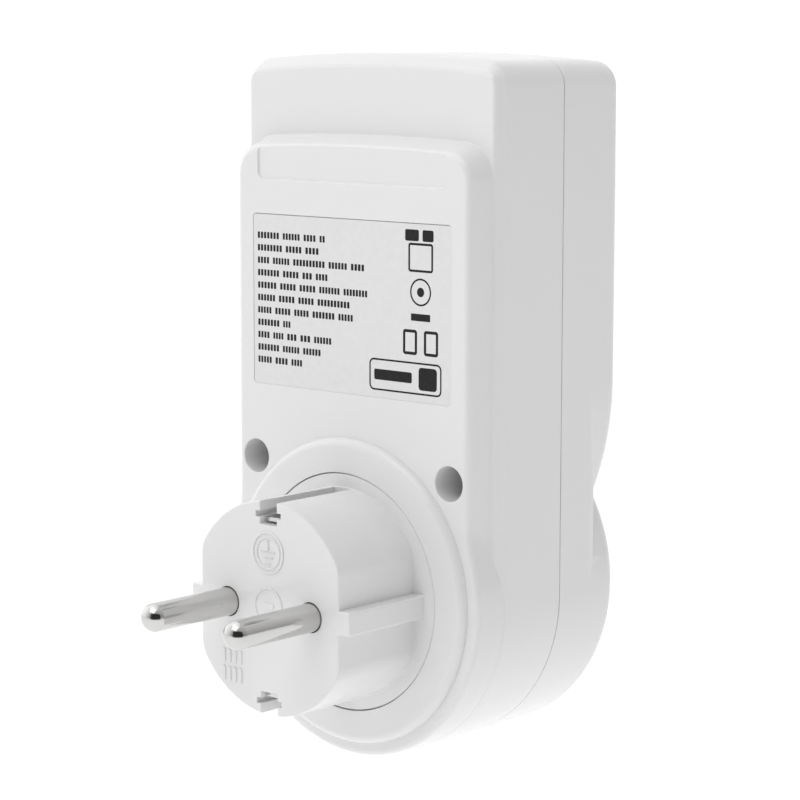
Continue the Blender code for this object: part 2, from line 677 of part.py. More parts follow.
def contact_carrier():
    """Block behind the shutter with a pocket for each female contact and a seat for the shutter spring."""
    block = rod("contact_carrier", (0, 0), 16.2, -34.4, -22.6, 32, PLASTIC_LIGHT)
    spring_seat = rod("contact_carrier_spring_seat", (0, 0), 4.4, -35.0, -31.5, 20)
    carved(block, spring_seat)
    for side in (-1, 1):
        x_span = sorted((side * 5.2, side * 14.0))
        pocket = slab(f"contact_carrier_pocket_{side}", (x_span[0], -32.9, -4.6), (x_span[1], -22.0, 4.6))
        place = (side * PIN_OFFSET, 0)
        pin_hole = rod(f"contact_carrier_pin_hole_{side}", place, PIN_HOLE_RADIUS, -35.0, -32.0, 20)
        place = (side * CARRIER_SCREW, -side * CARRIER_SCREW)
        screw_hole = rod(f"contact_carrier_screw_hole_{side}", place, 1.2, -35.0, -22.0, 12)
        carved(block, pocket, pin_hole, screw_hole)
        earth_relief = slab(f"contact_carrier_relief_{side}", (-3.0, -35.0, min(side * 15.2, side * 17.0)),
                            (3.0, -22.0, max(side * 15.2, side * 17.0)))
        carved(block, earth_relief)
    return block


def carrier_screws():
    for label, side in (("lower", 1), ("upper", -1)):
        place = (side * CARRIER_SCREW, -side * CARRIER_SCREW)
        screw(f"carrier_screw_{label}", place, -21.1, -22.4, -37.2, 2.0, 0.95)


def contacts():
    """Sprung female contacts: two leaves joined by a side web, with a tail plate towards the plug."""
    for name, side, tail_end in (("live_contact", -1, -19.6), ("neutral_contact", 1, -16.9)):
        web_span = sorted((side * 12.4, side * 13.2))
        web = slab(name, (web_span[0], -31.5, -2.95), (web_span[1], tail_end, 2.95), BRASS)
        for end in (-1, 1):
            leaf = [(-23.2, 2.9), (-25.0, 2.2), (-29.0, 2.0), (-31.0, 2.4), (-32.2, 3.2)]
            leaf_span = sorted((side * 7.0, side * 13.2))
            path = [(y, end * z) for y, z in thick(leaf, -0.6)]
            fused(web, strip(f"{name}_leaf_{end}", path, *leaf_span, BRASS))
        if side > 0:
            tail = slab(f"{name}_tail", (6.9, -17.2, -2.95), (13.2, -16.4, 2.95), BRASS)
            fused(web, tail)
            carved(web, rod(f"{name}_tail_hole", (PIN_OFFSET, 0), 1.8, -18.0, -16.0, 16))
    tab = slab("live_pin_tab", (-13.0, -17.2, -2.6), (-6.5, -16.4, 2.6), BRASS)
    carved(tab, rod("live_pin_tab_hole", (-PIN_OFFSET, 0), 1.8, -18.0, -16.0, 16))


# --- display board ----------------------------------------------------------------------------------------

def display_board():
    """Board behind the display, cut round the socket and stepped round the screw towers."""
    cut = degrees(acos(20.6 / 25.4))
    lower = arc(0, 0, 25.4, 90 - cut, 90, 8)
    right = [(25.4, 25.3), (25.4, 86.0), (23.8, 87.6)]
    outline = lower[::-1] + [(18.2, 20.6)] + [(18.2, 25.3)] + right
    board = prism("display_pcb", mirrored(outline), *DISPLAY_PCB_Y, BOARD)
    for number, place in enumerate(DISPLAY_POSTS):
        hole = rod(f"display_pcb_hole_{number}", place, 1.2, DISPLAY_PCB_Y[0] - 1, DISPLAY_PCB_Y[1] + 1, 12)
        carved(board, hole)
        level = "upper" if place[1] > WINDOW_Z else "lower"
        name = f"pcb_screw_{level}_" + ("left" if place[0] < 0 else "right")
        screw(name, place, DISPLAY_PCB_Y[1] + 1.5, DISPLAY_PCB_Y[1] + 0.2, FRONT_Y + 4.5, 1.9, 0.85)


def lcd_stack():
    """Glass, its clip-on frame and the two rubber connectors that link it to the board."""
    frame_outline = rounded_rectangle(0, WINDOW_Z, 25.2, 18.0, 1.5)
    frame = prism("lcd_frame", frame_outline, -53.8, -45.9, PLASTIC_BLACK)
    pocket = prism("lcd_frame_pocket", rounded_rectangle(0, WINDOW_Z, 23.5, 16.3, 0.5), -53.2, -45.0)
    view = prism("lcd_frame_view", rounded_rectangle(0, WINDOW_Z, 21.6, 14.1, 1.0), -55.0, -52.0)
    carved(frame, pocket, view)
    glass = slab("lcd_panel", (-23.1, -52.9, WINDOW_Z - 15.9), (23.1, -50.2, WINDOW_Z + 15.9), LCD)
    for label, side in (("upper", 1), ("lower", -1)):
        centre = WINDOW_Z + side * 14.4
        slab(f"zebra_strip_{label}", (-21.0, -49.9, centre - 1.1), (21.0, -45.9, centre + 1.1), RUBBER_GREY)
    return glass


def keypad():
    """Silicone mat on the board with a dome under each key stem."""
    inner, outer, reach = 26.5, 34.0, 42
    start, end = 90 - reach + 4, 90 + reach - 4
    outline = arc(0, 0, outer, start, end, 12) + arc(0, 0, inner, end, start, 12)
    mat = prism("keypad", outline, -46.7, -45.9, RUBBER_GREY)
    for number, angle in enumerate(KEY_ANGLES):
        place = (KEY_ARC_RADIUS * sin(radians(angle)), KEY_ARC_RADIUS * cos(radians(angle)))
        fused(mat, turned(f"keypad_dome_{number}", [
            (0, -50.1), (1.8, -50.1), (1.9, -48.6), (3.2, -46.8), (3.2, -46.2), (0, -46.2),
        ], place, 16))
    return mat


def display_parts():
    blob = [(0, -42.3), (2.6, -42.5), (4.6, -43.1), (5.6, -43.7), (0, -43.7)]
    turned("display_chip", blob, (0, 62), 20, EPOXY)
    crystal = rounded_rectangle(16.0, 37.5, 5.0, 1.9, 1.8)
    loft("clock_crystal", [(crystal, -43.7), (crystal, -40.9)], STEEL)


# --- power board ------------------------------------------------------------------------------------------

def power_board():
    board = prism("power_pcb", rounded_rectangle(0, 57, 24.4, 29, 1.5), *POWER_PCB_Y, BOARD)
    for number, place in enumerate(POWER_POSTS):
        hole = rod(f"power_pcb_hole_{number}", place, 1.2, POWER_PCB_Y[0] - 1, POWER_PCB_Y[1] + 1, 12)
        carved(board, hole)
        if number in (0, 3):
            name = "power_pcb_screw_" + ("lower" if number == 0 else "upper")
            tip_y = -22.6 if number == 0 else -26.4
            screw(name, place, POWER_PCB_Y[0] - 1.5, POWER_PCB_Y[0] - 0.2, tip_y, 1.9, 0.85)


def leaded_block(name, centre, half, height, finish, corner=0.8):
    """A moulded block standing on the power board."""
    foot = POWER_PCB_Y[0] - GAP
    outline = rounded_rectangle(*centre, *half, corner)
    inner = rounded_rectangle(*centre, half[0] - 0.5, half[1] - 0.5, corner)
    return loft(name, [(outline, foot), (outline, foot - height + 0.5), (inner, foot - height)], finish)


def upright_disc(name, centre, radius, thickness, finish):
    """A disc-shaped part standing on edge on the power board, its faces along Z."""
    foot = POWER_PCB_Y[0] - GAP
    y_centre = foot - radius - 0.8
    steps = 20
    turns = [2 * pi * i / steps for i in range(steps)]
    circle = [(y_centre + radius * sin(turn), radius * cos(turn)) for turn in turns]
    points = [(centre[0] + x, y, centre[1] + z) for z in (-thickness / 2, thickness / 2) for y, x in circle]
    faces = [list(range(steps)), list(range(steps, 2 * steps))]
    faces += [[i, (i + 1) % steps, (i + 1) % steps + steps, i + steps] for i in range(steps)]
    body = mesh_object(name, points, faces, finish)
    for side in (-1, 1):
        leg_x = centre[0] + side * 2.5
        low, high = (leg_x - 0.4, y_centre, centre[1] - 0.4), (leg_x + 0.4, foot, centre[1] + 0.4)
        leg = slab(f"{name}_leg_{side}", low, high)
        fused(body, leg)
    return body


def chip(name, centre, half_x, half_z, legs):
    """A surface-mount package with legs along both long sides."""
    foot = POWER_PCB_Y[0] - GAP
    low = (centre[0] - half_x, foot - 2.3, centre[1] - half_z)
    high = (centre[0] + half_x, foot - 0.1, centre[1] + half_z)
    body = slab(name, low, high, EPOXY)
    for i in range(legs):
        x = centre[0] - half_x + (i + 0.5) * 2 * half_x / legs
        low = (x - 0.25, foot - 0.5, centre[1] - half_z - 1.3)
        high = (x + 0.25, foot - 0.2, centre[1] + half_z + 1.3)
        leg = slab(f"{name}_leg_{i}", low, high)
        fused(body, leg)
    return body


def power_parts():
    """Mains dropper, protection, supply, metering chip, shunt and the backup cell pack."""
    leaded_block("x2_capacitor", (-12.0, 67.0), (9.0, 4.4), 11.2, FILM_YELLOW)
    leaded_block("rectifier", (-16.5, 52.0), (3.2, 4.0), 3.2, EPOXY, 0.3)
    leaded_block("voltage_regulator", (4.0, 66.0), (2.3, 1.8), 4.6, EPOXY, 0.4)
    upright_disc("varistor", (12.0, 37.0), 5.0, 4.0, DISC_BLUE)
    foot = POWER_PCB_Y[0] - GAP
    fuse = [(0, foot), (4.2, foot), (4.2, foot - 7.4), (3.8, foot - 7.8), (0, foot - 7.8)]
    turned("fuse", fuse, (-13.5, 41.0), 20, PLASTIC_BLACK)
    turned("smoothing_capacitor", [
        (0, foot),
        (4.0, foot),
        (4.0, foot - 11.0),
        (3.7, foot - 11.5),
        (3.3, foot - 11.5),
        (3.2, foot - 11.3),
        (0, foot - 11.3),
    ], (15.0, 55.0), 20, SHRINK_GREEN)
    chip("metering_chip", (-1.0, 48.0), 5.2, 2.7, 8)
    backup_battery()
    shunt()


def backup_battery():
    """Three button cells in a shrink sleeve, lying along X on the power board."""
    steps, radius = 24, 5.7
    y_centre, z_centre = POWER_PCB_Y[0] - GAP - radius, 79.5
    cells = ((-1.2, 0.86), (-0.9, 1.0), (4.2, 1.0), (4.5, 0.95), (4.8, 1.0), (9.9, 1.0), (10.2, 0.95), (10.5, 1.0),
             (15.6, 1.0), (15.9, 0.86))
    points = []
    for x, scale in cells:
        for i in range(steps):
            turn = 2 * pi * i / steps
            points.append((x, y_centre + radius * scale * cos(turn), z_centre + radius * scale * sin(turn)))
    faces = [list(range(steps)), list(range(len(points) - steps, len(points)))]
    for level in range(len(cells) - 1):
        for i in range(steps):
            a, b = level * steps + i, level * steps + (i + 1) % steps
            faces.append([a, b, b + steps, a + steps])
    return mesh_object("backup_battery", points, faces, SHRINK_GREEN)


def shunt():
    """Current shunt: a bridge of resistance strip standing on the power board."""
    foot = POWER_PCB_Y[0] - GAP
    top = foot - 3.2
    outer = [(-11.0, foot), (-11.0, top), (-1.0, top), (-1.0, foot)]
    outline = outer + [(-1.9, foot), (-1.9, top + 0.9), (-10.1, top + 0.9), (-10.1, foot)]
    count = len(outline)
    points = [(x, y, z) for z in (30.4, 33.6) for x, y in outline]
    faces = [list(range(count)), list(range(count, 2 * count))]
    faces += [[i, (i + 1) % count, (i + 1) % count + count, i + count] for i in range(count)]
    return mesh_object("shunt", points, faces, BRASS)


# --- wiring -----------------------------------------------------------------------------------------------

def smooth_route(points, per_span):
    """Points along a Catmull-Rom curve through the given points."""
    padded = [points[0]] + list(points) + [points[-1]]
    route = []
    for i in range(1, len(padded) - 2):
        p0, p1, p2, p3 = padded[i - 1:i + 3]
        for k in range(per_span):
            t = k / per_span
            route.append([
                0.5 * (2 * b + (c - a) * t + (2 * a - 5 * b + 4 * c - d) * t ** 2 + (3 * b - a - 3 * c + d) * t ** 3)
                for a, b, c, d in zip(p0, p1, p2, p3)
            ])
    return route + [list(points[-1])]


def lead(name, points, finish, radius=0.8):
    """An insulated lead: a curve object with a round section and filled ends."""
    route = smooth_route(points, 3)
    curve = bpy.data.curves.new(name, "CURVE")
    curve.dimensions = "3D"
    curve.bevel_depth = radius / 1000
    curve.bevel_resolution = 1
    curve.use_fill_caps = True
    curve.materials.append(material(finish))
    spline = curve.splines.new("POLY")
    spline.points.add(len(route) - 1)
    for target, point in zip(spline.points, route):
        target.co = (*[value / 1000 for value in point], 1.0)
    made = bpy.data.objects.new(name, curve)
    bpy.context.scene.collection.objects.link(made)
    return made


def wiring():
    """Leads from the plug and the socket, round the board's lower edge to the shunt and the neutral pad."""
    lead("live_pin_lead", (
        (-7.4, -18.4, 0.0),
        (-5.6, -19.6, 5.0),
        (-4.7, -20.8, 10.4),
        (-4.5, -21.2, 14.4),
        (-4.5, -22.5, 18.2),
        (-4.5, -23.7, 21.0),
        (-4.2, -25.4, 24.8),
        (-3.2, -30.0, 26.2),
        (-1.9, -34.2, 28.4),
        (-1.4, -34.4, 32.0),
    ), LEAD_BROWN)
    lead("live_contact_lead", (
        (-11.5, -18.6, 2.2),
        (-9.0, -19.4, 5.0),
        (-7.2, -20.7, 9.6),
        (-6.9, -21.2, 13.4),
        (-6.9, -22.5, 17.8),
        (-6.9, -23.7, 21.0),
        (-7.6, -25.4, 24.8),
        (-9.2, -30.0, 26.2),
        (-10.4, -34.2, 28.4),
        (-10.6, -34.4, 32.0),
    ), LEAD_RED)
    lead("neutral_lead", (
        (9.5, -18.4, 1.5),
        (8.0, -19.6, 6.0),
        (6.9, -20.8, 10.4),
        (6.6, -21.2, 13.8),
        (6.6, -22.5, 17.8),
        (6.6, -23.7, 21.0),
        (6.9, -25.4, 24.8),
        (7.2, -30.0, 26.2),
        (7.5, -32.4, 28.4),
        (7.6, -31.2, 31.8),
    ), LEAD_BLUE)
    ribbon()


def ribbon():
    """Flat ribbon cable from the power board, over the top, to the display board."""
    route = smooth_route(((-29.9, 73.5), (-33.0, 74.6), (-37.0, 76.4), (-41.0, 75.0), (-43.7, 73.2)), 4)
    return strip("ribbon_cable", thick([tuple(point) for point in route], 0.6), -23.0, -11.0, RIBBON)


def build():
    for left_over in list(bpy.data.objects):
        bpy.data.objects.remove(left_over, do_unlink=True)
    rear_shell()
    front_shell()
    buttons()
    label_and_window()
    housing_screws()
    plug_insert()
    pins()
    earth_strap()
    socket_cup()
    shutter()
    shutter_spring()
    contact_carrier()
    carrier_screws()
    contacts()
    display_board()
    lcd_stack()
    keypad()
    display_parts()
    power_board()
    power_parts()
    wiring()


build()
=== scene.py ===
"""The looks of the plug-in power meter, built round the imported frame.

Lengths are millimetres in the frame's own axes until mesh_object turns them into metres: the origin is the
centre of the plug's face, +Y is the way the plug goes into the wall, +Z is up. Outlines lie in the XZ plane.
"""

import json
from math import atan2, cos, degrees, pi, radians, sin, sqrt

import bmesh
import bpy
from mathutils import Matrix, Vector


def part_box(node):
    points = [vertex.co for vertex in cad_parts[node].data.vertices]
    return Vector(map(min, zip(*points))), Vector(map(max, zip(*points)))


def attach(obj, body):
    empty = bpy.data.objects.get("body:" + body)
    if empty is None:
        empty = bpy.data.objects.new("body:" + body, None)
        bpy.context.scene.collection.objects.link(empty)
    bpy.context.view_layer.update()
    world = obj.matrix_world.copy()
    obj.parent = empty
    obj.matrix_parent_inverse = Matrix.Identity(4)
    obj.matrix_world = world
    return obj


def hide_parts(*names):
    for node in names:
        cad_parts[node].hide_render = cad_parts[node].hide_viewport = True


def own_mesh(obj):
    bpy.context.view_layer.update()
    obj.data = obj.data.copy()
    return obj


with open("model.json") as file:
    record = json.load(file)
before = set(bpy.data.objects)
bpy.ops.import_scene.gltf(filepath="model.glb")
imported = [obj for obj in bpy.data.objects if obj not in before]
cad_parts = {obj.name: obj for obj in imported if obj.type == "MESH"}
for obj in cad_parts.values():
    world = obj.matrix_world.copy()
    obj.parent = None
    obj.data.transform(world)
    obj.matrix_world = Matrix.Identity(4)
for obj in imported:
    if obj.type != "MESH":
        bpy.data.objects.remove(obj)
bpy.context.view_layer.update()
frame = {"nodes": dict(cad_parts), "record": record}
NODES = frame["nodes"]


def box_mm(node):
    low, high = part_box(node)
    return low * 1000, high * 1000


# --- places read from the frame ---

REAR_HIGH = box_mm("rear_shell")[1]
PIN_LOW, PIN_HIGH = box_mm("plug_pin_right")
LABEL_LOW, LABEL_HIGH = box_mm("rating_label")
LENS_LOW, LENS_HIGH = box_mm("display_window")
MAT_LOW, MAT_HIGH = box_mm("keypad")
SCREW_LOW, SCREW_HIGH = box_mm("housing_screw_right")

HALF_WIDTH = REAR_HIGH.x
TOP_Z = REAR_HIGH.z
RING_Y = REAR_HIGH.y
FRONT_Y = box_mm("front_shell")[0].y
LCD_FACE_Y = box_mm("lcd_panel")[0].y
PIN_LENGTH = PIN_HIGH.y
PIN_OFFSET = (PIN_LOW.x + PIN_HIGH.x) / 2
SCREW_X = (SCREW_LOW.x + SCREW_HIGH.x) / 2
SCREW_Z = (SCREW_LOW.z + SCREW_HIGH.z) / 2
SCREW_PLACES = ((-SCREW_X, SCREW_Z), (SCREW_X, SCREW_Z))
LABEL_Z = (LABEL_LOW.z + LABEL_HIGH.z) / 2
WINDOW_Z = (LENS_LOW.z + LENS_HIGH.z) / 2

# --- the design's own dimensions, in millimetres ---

PAD_Y = RING_Y - 1.5
BACK_Y = RING_Y - 6.1
SEAM_Y = -41.2
BASE_Y = FRONT_Y + 4.9
CROWN_RADIUS = 300.0
CORNER_RADIUS = 4.5
LOBE_Z = 35.7
LOBE_RADIUS = 52.0
CHAMFER_SIDE = 1.25
CHAMFER_TOP = 2.1
CHAMFER_DEPTH = 2.2
PAD_HALF = 26.4
PAD_LOBE = 28.75
PAD_TOP_Z = 75.9
PAD_CROWN = 400.0
PAD_SIDE_DRAFT = 1.1
PAD_TOP_DRAFT = 1.7
PAD_FILLET = 1.0
PAD_BLEND = 24.0
RECESS_DEPTH = 0.35
WALL = 2.0
FRONT_WALL = 2.2

INSERT_RADIUS = 20.5
RING_HOLE_RADIUS = 20.62
RING_BASE_RADIUS = 26.5
FLANGE_RADIUS = 23.4

PIN_RADIUS = 2.4
PLUG_RADIUS = 18.14
PLUG_FLAT = 15.84
PLUG_ROLL = 5.0
PLUG_RIB_REACH = 18.2
PLUG_RIB_HALF = 1.95
GROOVE_HALF = 1.9
GROOVE_FLOOR = 14.2
GROOVE_END = -18.1

SOCKET_RADIUS = 19.5
SOCKET_MOUTH_Y = FRONT_Y + 0.1
SOCKET_FLOOR_Y = -38.8
FLOOR_BACK_Y = -36.8
PIN_HOLE_RADIUS = 3.1

SCREW_HOLE_RADIUS = 2.97
SCREW_SHAFT_HOLE = 1.7
SCREW_SEAT_Y = -31.0
KEY_ARC_RADIUS = 30.5
KEYS = (("mode", -30.0), ("cost", -10.0), ("down", 10.0), ("up", 30.0))
CARRIER_SCREW = 10.25

SIDES = (("left", -1), ("right", 1))
ENDS = (("bottom", -1), ("top", 1))

ROUND = 144
SMALL_ROUND = 48


# --- outlines ---

def arc(centre_x, centre_z, radius, start, end, steps):
    """Points on an arc, angles in degrees from +X towards +Z, both ends included."""
    return [
        (
            centre_x + radius * cos(radians(start + (end - start) * i / steps)),
            centre_z + radius * sin(radians(start + (end - start) * i / steps)),
        )
        for i in range(steps + 1)
    ]


def mirrored(right_side):
    """A closed outline from the points of its right side, bottom to top."""
    return right_side + [(-x, z) for x, z in reversed(right_side) if abs(x) > 1e-6]


def crowned_top(half, top_z, crown, corner):
    """The right-hand corner and half of a crowned top edge, from the side up to the centre line."""
    rise = sqrt((crown - corner) ** 2 - (half - corner) ** 2)
    corner_z = top_z - crown + rise
    join = degrees(atan2(rise, half - corner))
    corner_arc = arc(half - corner, corner_z, corner, 0, join, 14)
    top_arc = arc(0, top_z - crown, crown, join, 90, 14)
    return corner_arc + top_arc[1:]


def body_outline(inset, top_inset=None, corner=None):
    """The housing: a half circle about the plug's axis, straight sides and a crowned top."""
    top_inset = inset if top_inset is None else top_inset
    corner = CORNER_RADIUS - inset if corner is None else corner
    half = HALF_WIDTH - inset
    bottom = arc(0, 0, half, -90, 0, ROUND // 4)
    top = crowned_top(half, TOP_Z - top_inset, CROWN_RADIUS - top_inset, corner)
    return mirrored(bottom + [(half, LOBE_Z)] + top)


def lobes_outline(inset, drop=0.0):
    """The raised front: a circle about the socket, met in a waist by the display block's swelling sides."""
    half = HALF_WIDTH - inset
    lobe_x, lobe = HALF_WIDTH - LOBE_RADIUS, LOBE_RADIUS - inset
    apart = sqrt(lobe_x ** 2 + LOBE_Z ** 2)
    along = (half ** 2 - lobe ** 2 + apart ** 2) / (2 * apart)
    across = sqrt(half ** 2 - along ** 2)
    waist_x = (along * lobe_x + across * LOBE_Z) / apart
    waist_z = (along * LOBE_Z - across * lobe_x) / apart
    collar_end = degrees(atan2(waist_z, waist_x))
    block_start = degrees(atan2(waist_z - LOBE_Z, waist_x - lobe_x))
    collar = arc(0, 0, half, -90, 0, ROUND // 4) + arc(0, 0, half, 0, collar_end, 14)[1:]
    block = arc(lobe_x, LOBE_Z, lobe, block_start, 0, 14)[1:]
    top = crowned_top(half, TOP_Z - inset - drop, CROWN_RADIUS - inset, CORNER_RADIUS - inset)
    return mirrored(collar + block + top)


def pad_outline(half, lobe, top_z, corner):
    """The raised rear pad: straight sides that swell, through a long blend, into a circle about the plug."""
    blend = PAD_BLEND
    centre_z = sqrt((lobe + blend) ** 2 - (half + blend) ** 2)
    meet = degrees(atan2(centre_z, half + blend))
    bottom = arc(0, 0, lobe, -90, meet, ROUND // 3)
    neck = arc(half + blend, centre_z, blend, 180 + meet, 180, 16)[1:]
    return mirrored(bottom + neck + crowned_top(half, top_z, PAD_CROWN, corner))


def pad_section(y, inset=0.0, cove=0.0):
    """The outline of the pad's drafted wall at one depth, or that far inside it."""
    share = (PAD_Y - y) / (PAD_Y - BACK_Y)
    return pad_outline(
        PAD_HALF + PAD_SIDE_DRAFT * share - inset,
        min(PAD_LOBE + 0.15 * share, HALF_WIDTH - 0.05) - inset,
        PAD_TOP_Z + PAD_TOP_DRAFT * share - inset + cove,
        4.6 + 1.3 * share - inset,
    )


def rounded_rectangle(centre_x, centre_z, half_x, half_z, corner, steps=8):
    corner = max(corner, 0.02)
    points = []
    for turn, (side_x, side_z) in enumerate(((1, 1), (-1, 1), (-1, -1), (1, -1))):
        x = centre_x + side_x * (half_x - corner)
        z = centre_z + side_z * (half_z - corner)
        points += arc(x, z, corner, 90 * turn, 90 * turn + 90, steps)
    return points


def pill(straight_half, radius, steps=16):
    """A slot shape along X, centred on the origin."""
    right = arc(straight_half, 0, radius, -90, 90, steps)
    return right + arc(-straight_half, 0, radius, 90, 270, steps)


def circle(centre_x, centre_z, radius, steps=SMALL_ROUND):
    return arc(centre_x, centre_z, radius, 0, 360, steps)[:-1]


# --- solids ---

def mesh_object(name, points, faces):
    """An object from points in millimetres, with its faces turned outwards."""
    mesh = bpy.data.meshes.new(name)
    mesh.from_pydata([[value / 1000 for value in point] for point in points], [], faces)
    shape = bmesh.new()
    shape.from_mesh(mesh)
    bmesh.ops.recalc_face_normals(shape, faces=shape.faces)
    shape.to_mesh(mesh)
    shape.free()
    made = bpy.data.objects.new(name, mesh)
    bpy.context.scene.collection.objects.link(made)
    return made


def loft(name, rings):
    """A closed solid through outlines of equal length, each given with its Y."""
    count = len(rings[0][0])
    points = [(x, y, z) for outline, y in rings for x, z in outline]
    faces = [list(range(count)), list(range(len(points) - count, len(points)))]
    for level in range(len(rings) - 1):
        for i in range(count):
            a = level * count + i
            b = level * count + (i + 1) % count
            faces.append([a, b, b + count, a + count])
    return mesh_object(name, points, faces)


def prism(name, outline, y_from, y_to):
    return loft(name, [(outline, y_from), (outline, y_to)])


def slab(name, low, high):
    outline = [(low[0], low[2]), (high[0], low[2]), (high[0], high[2]), (low[0], high[2])]
    return prism(name, outline, low[1], high[1])


def turned(name, profile, at=(0, 0), steps=ROUND):
    """A solid of revolution about an axis along Y, from a profile of (radius, y) pairs."""
    points = []
    rows = []
    for radius, y in profile:
        if radius == 0:
            rows.append([len(points)] * steps)
            points.append((at[0], y, at[1]))
            continue
        rows.append(range(len(points), len(points) + steps))
        points += [(x, y, z) for x, z in circle(*at, radius, steps)]
    closed = profile[0][0] > 0
    pairs = list(zip(rows, rows[1:])) + ([(rows[-1], rows[0])] if closed else [])
    faces = []
    for lower, upper in pairs:
        for i in range(steps):
            j = (i + 1) % steps
            faces.append(list(dict.fromkeys((lower[i], lower[j], upper[j], upper[i]))))
    return mesh_object(name, points, faces)


def rod(name, at, radius, y_from, y_to, steps=SMALL_ROUND):
    return turned(name, [(0, y_from), (radius, y_from), (radius, y_to), (0, y_to)], at, steps)


def strip(name, path, x_low, x_high):
    """A bent strip of sheet metal: path is its closed outline in the (y, z) plane."""
    count = len(path)
    points = [(x, y, z) for x in (x_low, x_high) for y, z in path]
    faces = [list(range(count)), list(range(count, 2 * count))]
    faces += [[i, (i + 1) % count, (i + 1) % count + count, i + count] for i in range(count)]
    return mesh_object(name, points, faces)


def thick(route, thickness):
    """The closed outline of a strip that follows a route of (y, z) points, thickened to its left."""
    offset = []
    for i, (y, z) in enumerate(route):
        y_before, z_before = route[max(i - 1, 0)]
        y_after, z_after = route[min(i + 1, len(route) - 1)]
        run = (y_after - y_before, z_after - z_before)
        length = sqrt(run[0] ** 2 + run[1] ** 2)
        offset.append((y - run[1] / length * thickness, z + run[0] / length * thickness))
    return route + offset[::-1]


def smooth_route(points, per_span):
    """Points along a Catmull-Rom curve through the given points."""
    padded = [points[0]] + list(points) + [points[-1]]
    route = []
    for i in range(1, len(padded) - 2):
        p0, p1, p2, p3 = padded[i - 1:i + 3]
        for k in range(per_span):
            t = k / per_span
            point = []
            for a, b, c, d in zip(p0, p1, p2, p3):
                square, cube = 2 * a - 5 * b + 4 * c - d, 3 * b - a - 3 * c + d
                point.append(0.5 * (2 * b + (c - a) * t + square * t ** 2 + cube * t ** 3))
            route.append(tuple(point))
    return route + [tuple(points[-1])]


def quarter_steps(steps):
    """Pairs of 1 - cos and 1 - sin for even steps through a right angle."""
    turns = [radians(90 * i / steps) for i in range(steps + 1)]
    return [(1 - cos(turn), 1 - sin(turn)) for turn in turns]


def rounded_edge(outline, edge_y, radius, way, steps=8, run=None):
    """Rings that round the rim of outline(inset) into the flat face at edge_y, which looks along way * Y.

    The rounding starts this run, or else the radius, before the face.
    """
    run = radius if run is None else run
    return [(outline(radius * inset), edge_y - way * run * drop) for inset, drop in quarter_steps(steps)]


def quarter(radius, y, corner, way_r, way_y, steps=6):
    """Profile points rounding the corner at (radius, y): from the side along Y to the one across."""
    return [
        (radius - way_r * corner * inset, y - way_y * corner * drop)
        for inset, drop in quarter_steps(steps)
    ]


def boolean(target, operation, tools):
    """The target's mesh joined with, or cut by, the tools, which are used up."""
    for tool in tools:
        step = target.modifiers.new(tool.name, "BOOLEAN")
        step.operation = operation
        step.solver = "EXACT"
        step.object = tool
    graph = bpy.context.evaluated_depsgraph_get()
    result = bpy.data.meshes.new_from_object(target.evaluated_get(graph))
    target.modifiers.clear()
    target.data = result
    for tool in tools:
        bpy.data.objects.remove(tool, do_unlink=True)
    return target


def fused(target, *tools):
    return boolean(target, "UNION", tools)


def carved(target, *tools):
    return boolean(target, "DIFFERENCE", tools)


def joined(name, objects):
    """One object that holds the separate closed bodies of several."""
    shape = bmesh.new()
    for one in objects:
        shape.from_mesh(one.data)
        bpy.data.objects.remove(one, do_unlink=True)
    mesh = bpy.data.meshes.new(name)
    shape.to_mesh(mesh)
    shape.free()
    made = bpy.data.objects.new(name, mesh)
    bpy.context.scene.collection.objects.link(made)
    return made


def softened(target, width, segments=2, angle=40):
    """Rounds the sharp edges of a piece with a bevel of this width in millimetres."""
    step = target.modifiers.new("soft_edges", "BEVEL")
    step.width = width / 1000
    step.segments = segments
    step.limit_method = "ANGLE"
    step.angle_limit = radians(angle)
    step.harden_normals = False
    return target


def piece(target, slot, replaced=(), body="housing", finish=None, sharp=28):
    """Shading, material and body of a finished piece, with the CAD parts it replaces hidden; its finish is
    its record slot's or another.
    """
    target.data.shade_smooth()
    target.data.set_sharp_from_angle(angle=radians(sharp))
    weighted = target.modifiers.new("flat_faces_stay_flat", "WEIGHTED_NORMAL")
    weighted.keep_sharp = True
    weighted.weight = 80
    target.data.materials.clear()
    target.data.materials.append(finish or FINISH[slot])
    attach(target, body)
    if replaced:
        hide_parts(*replaced)
    return target


# --- materials ---

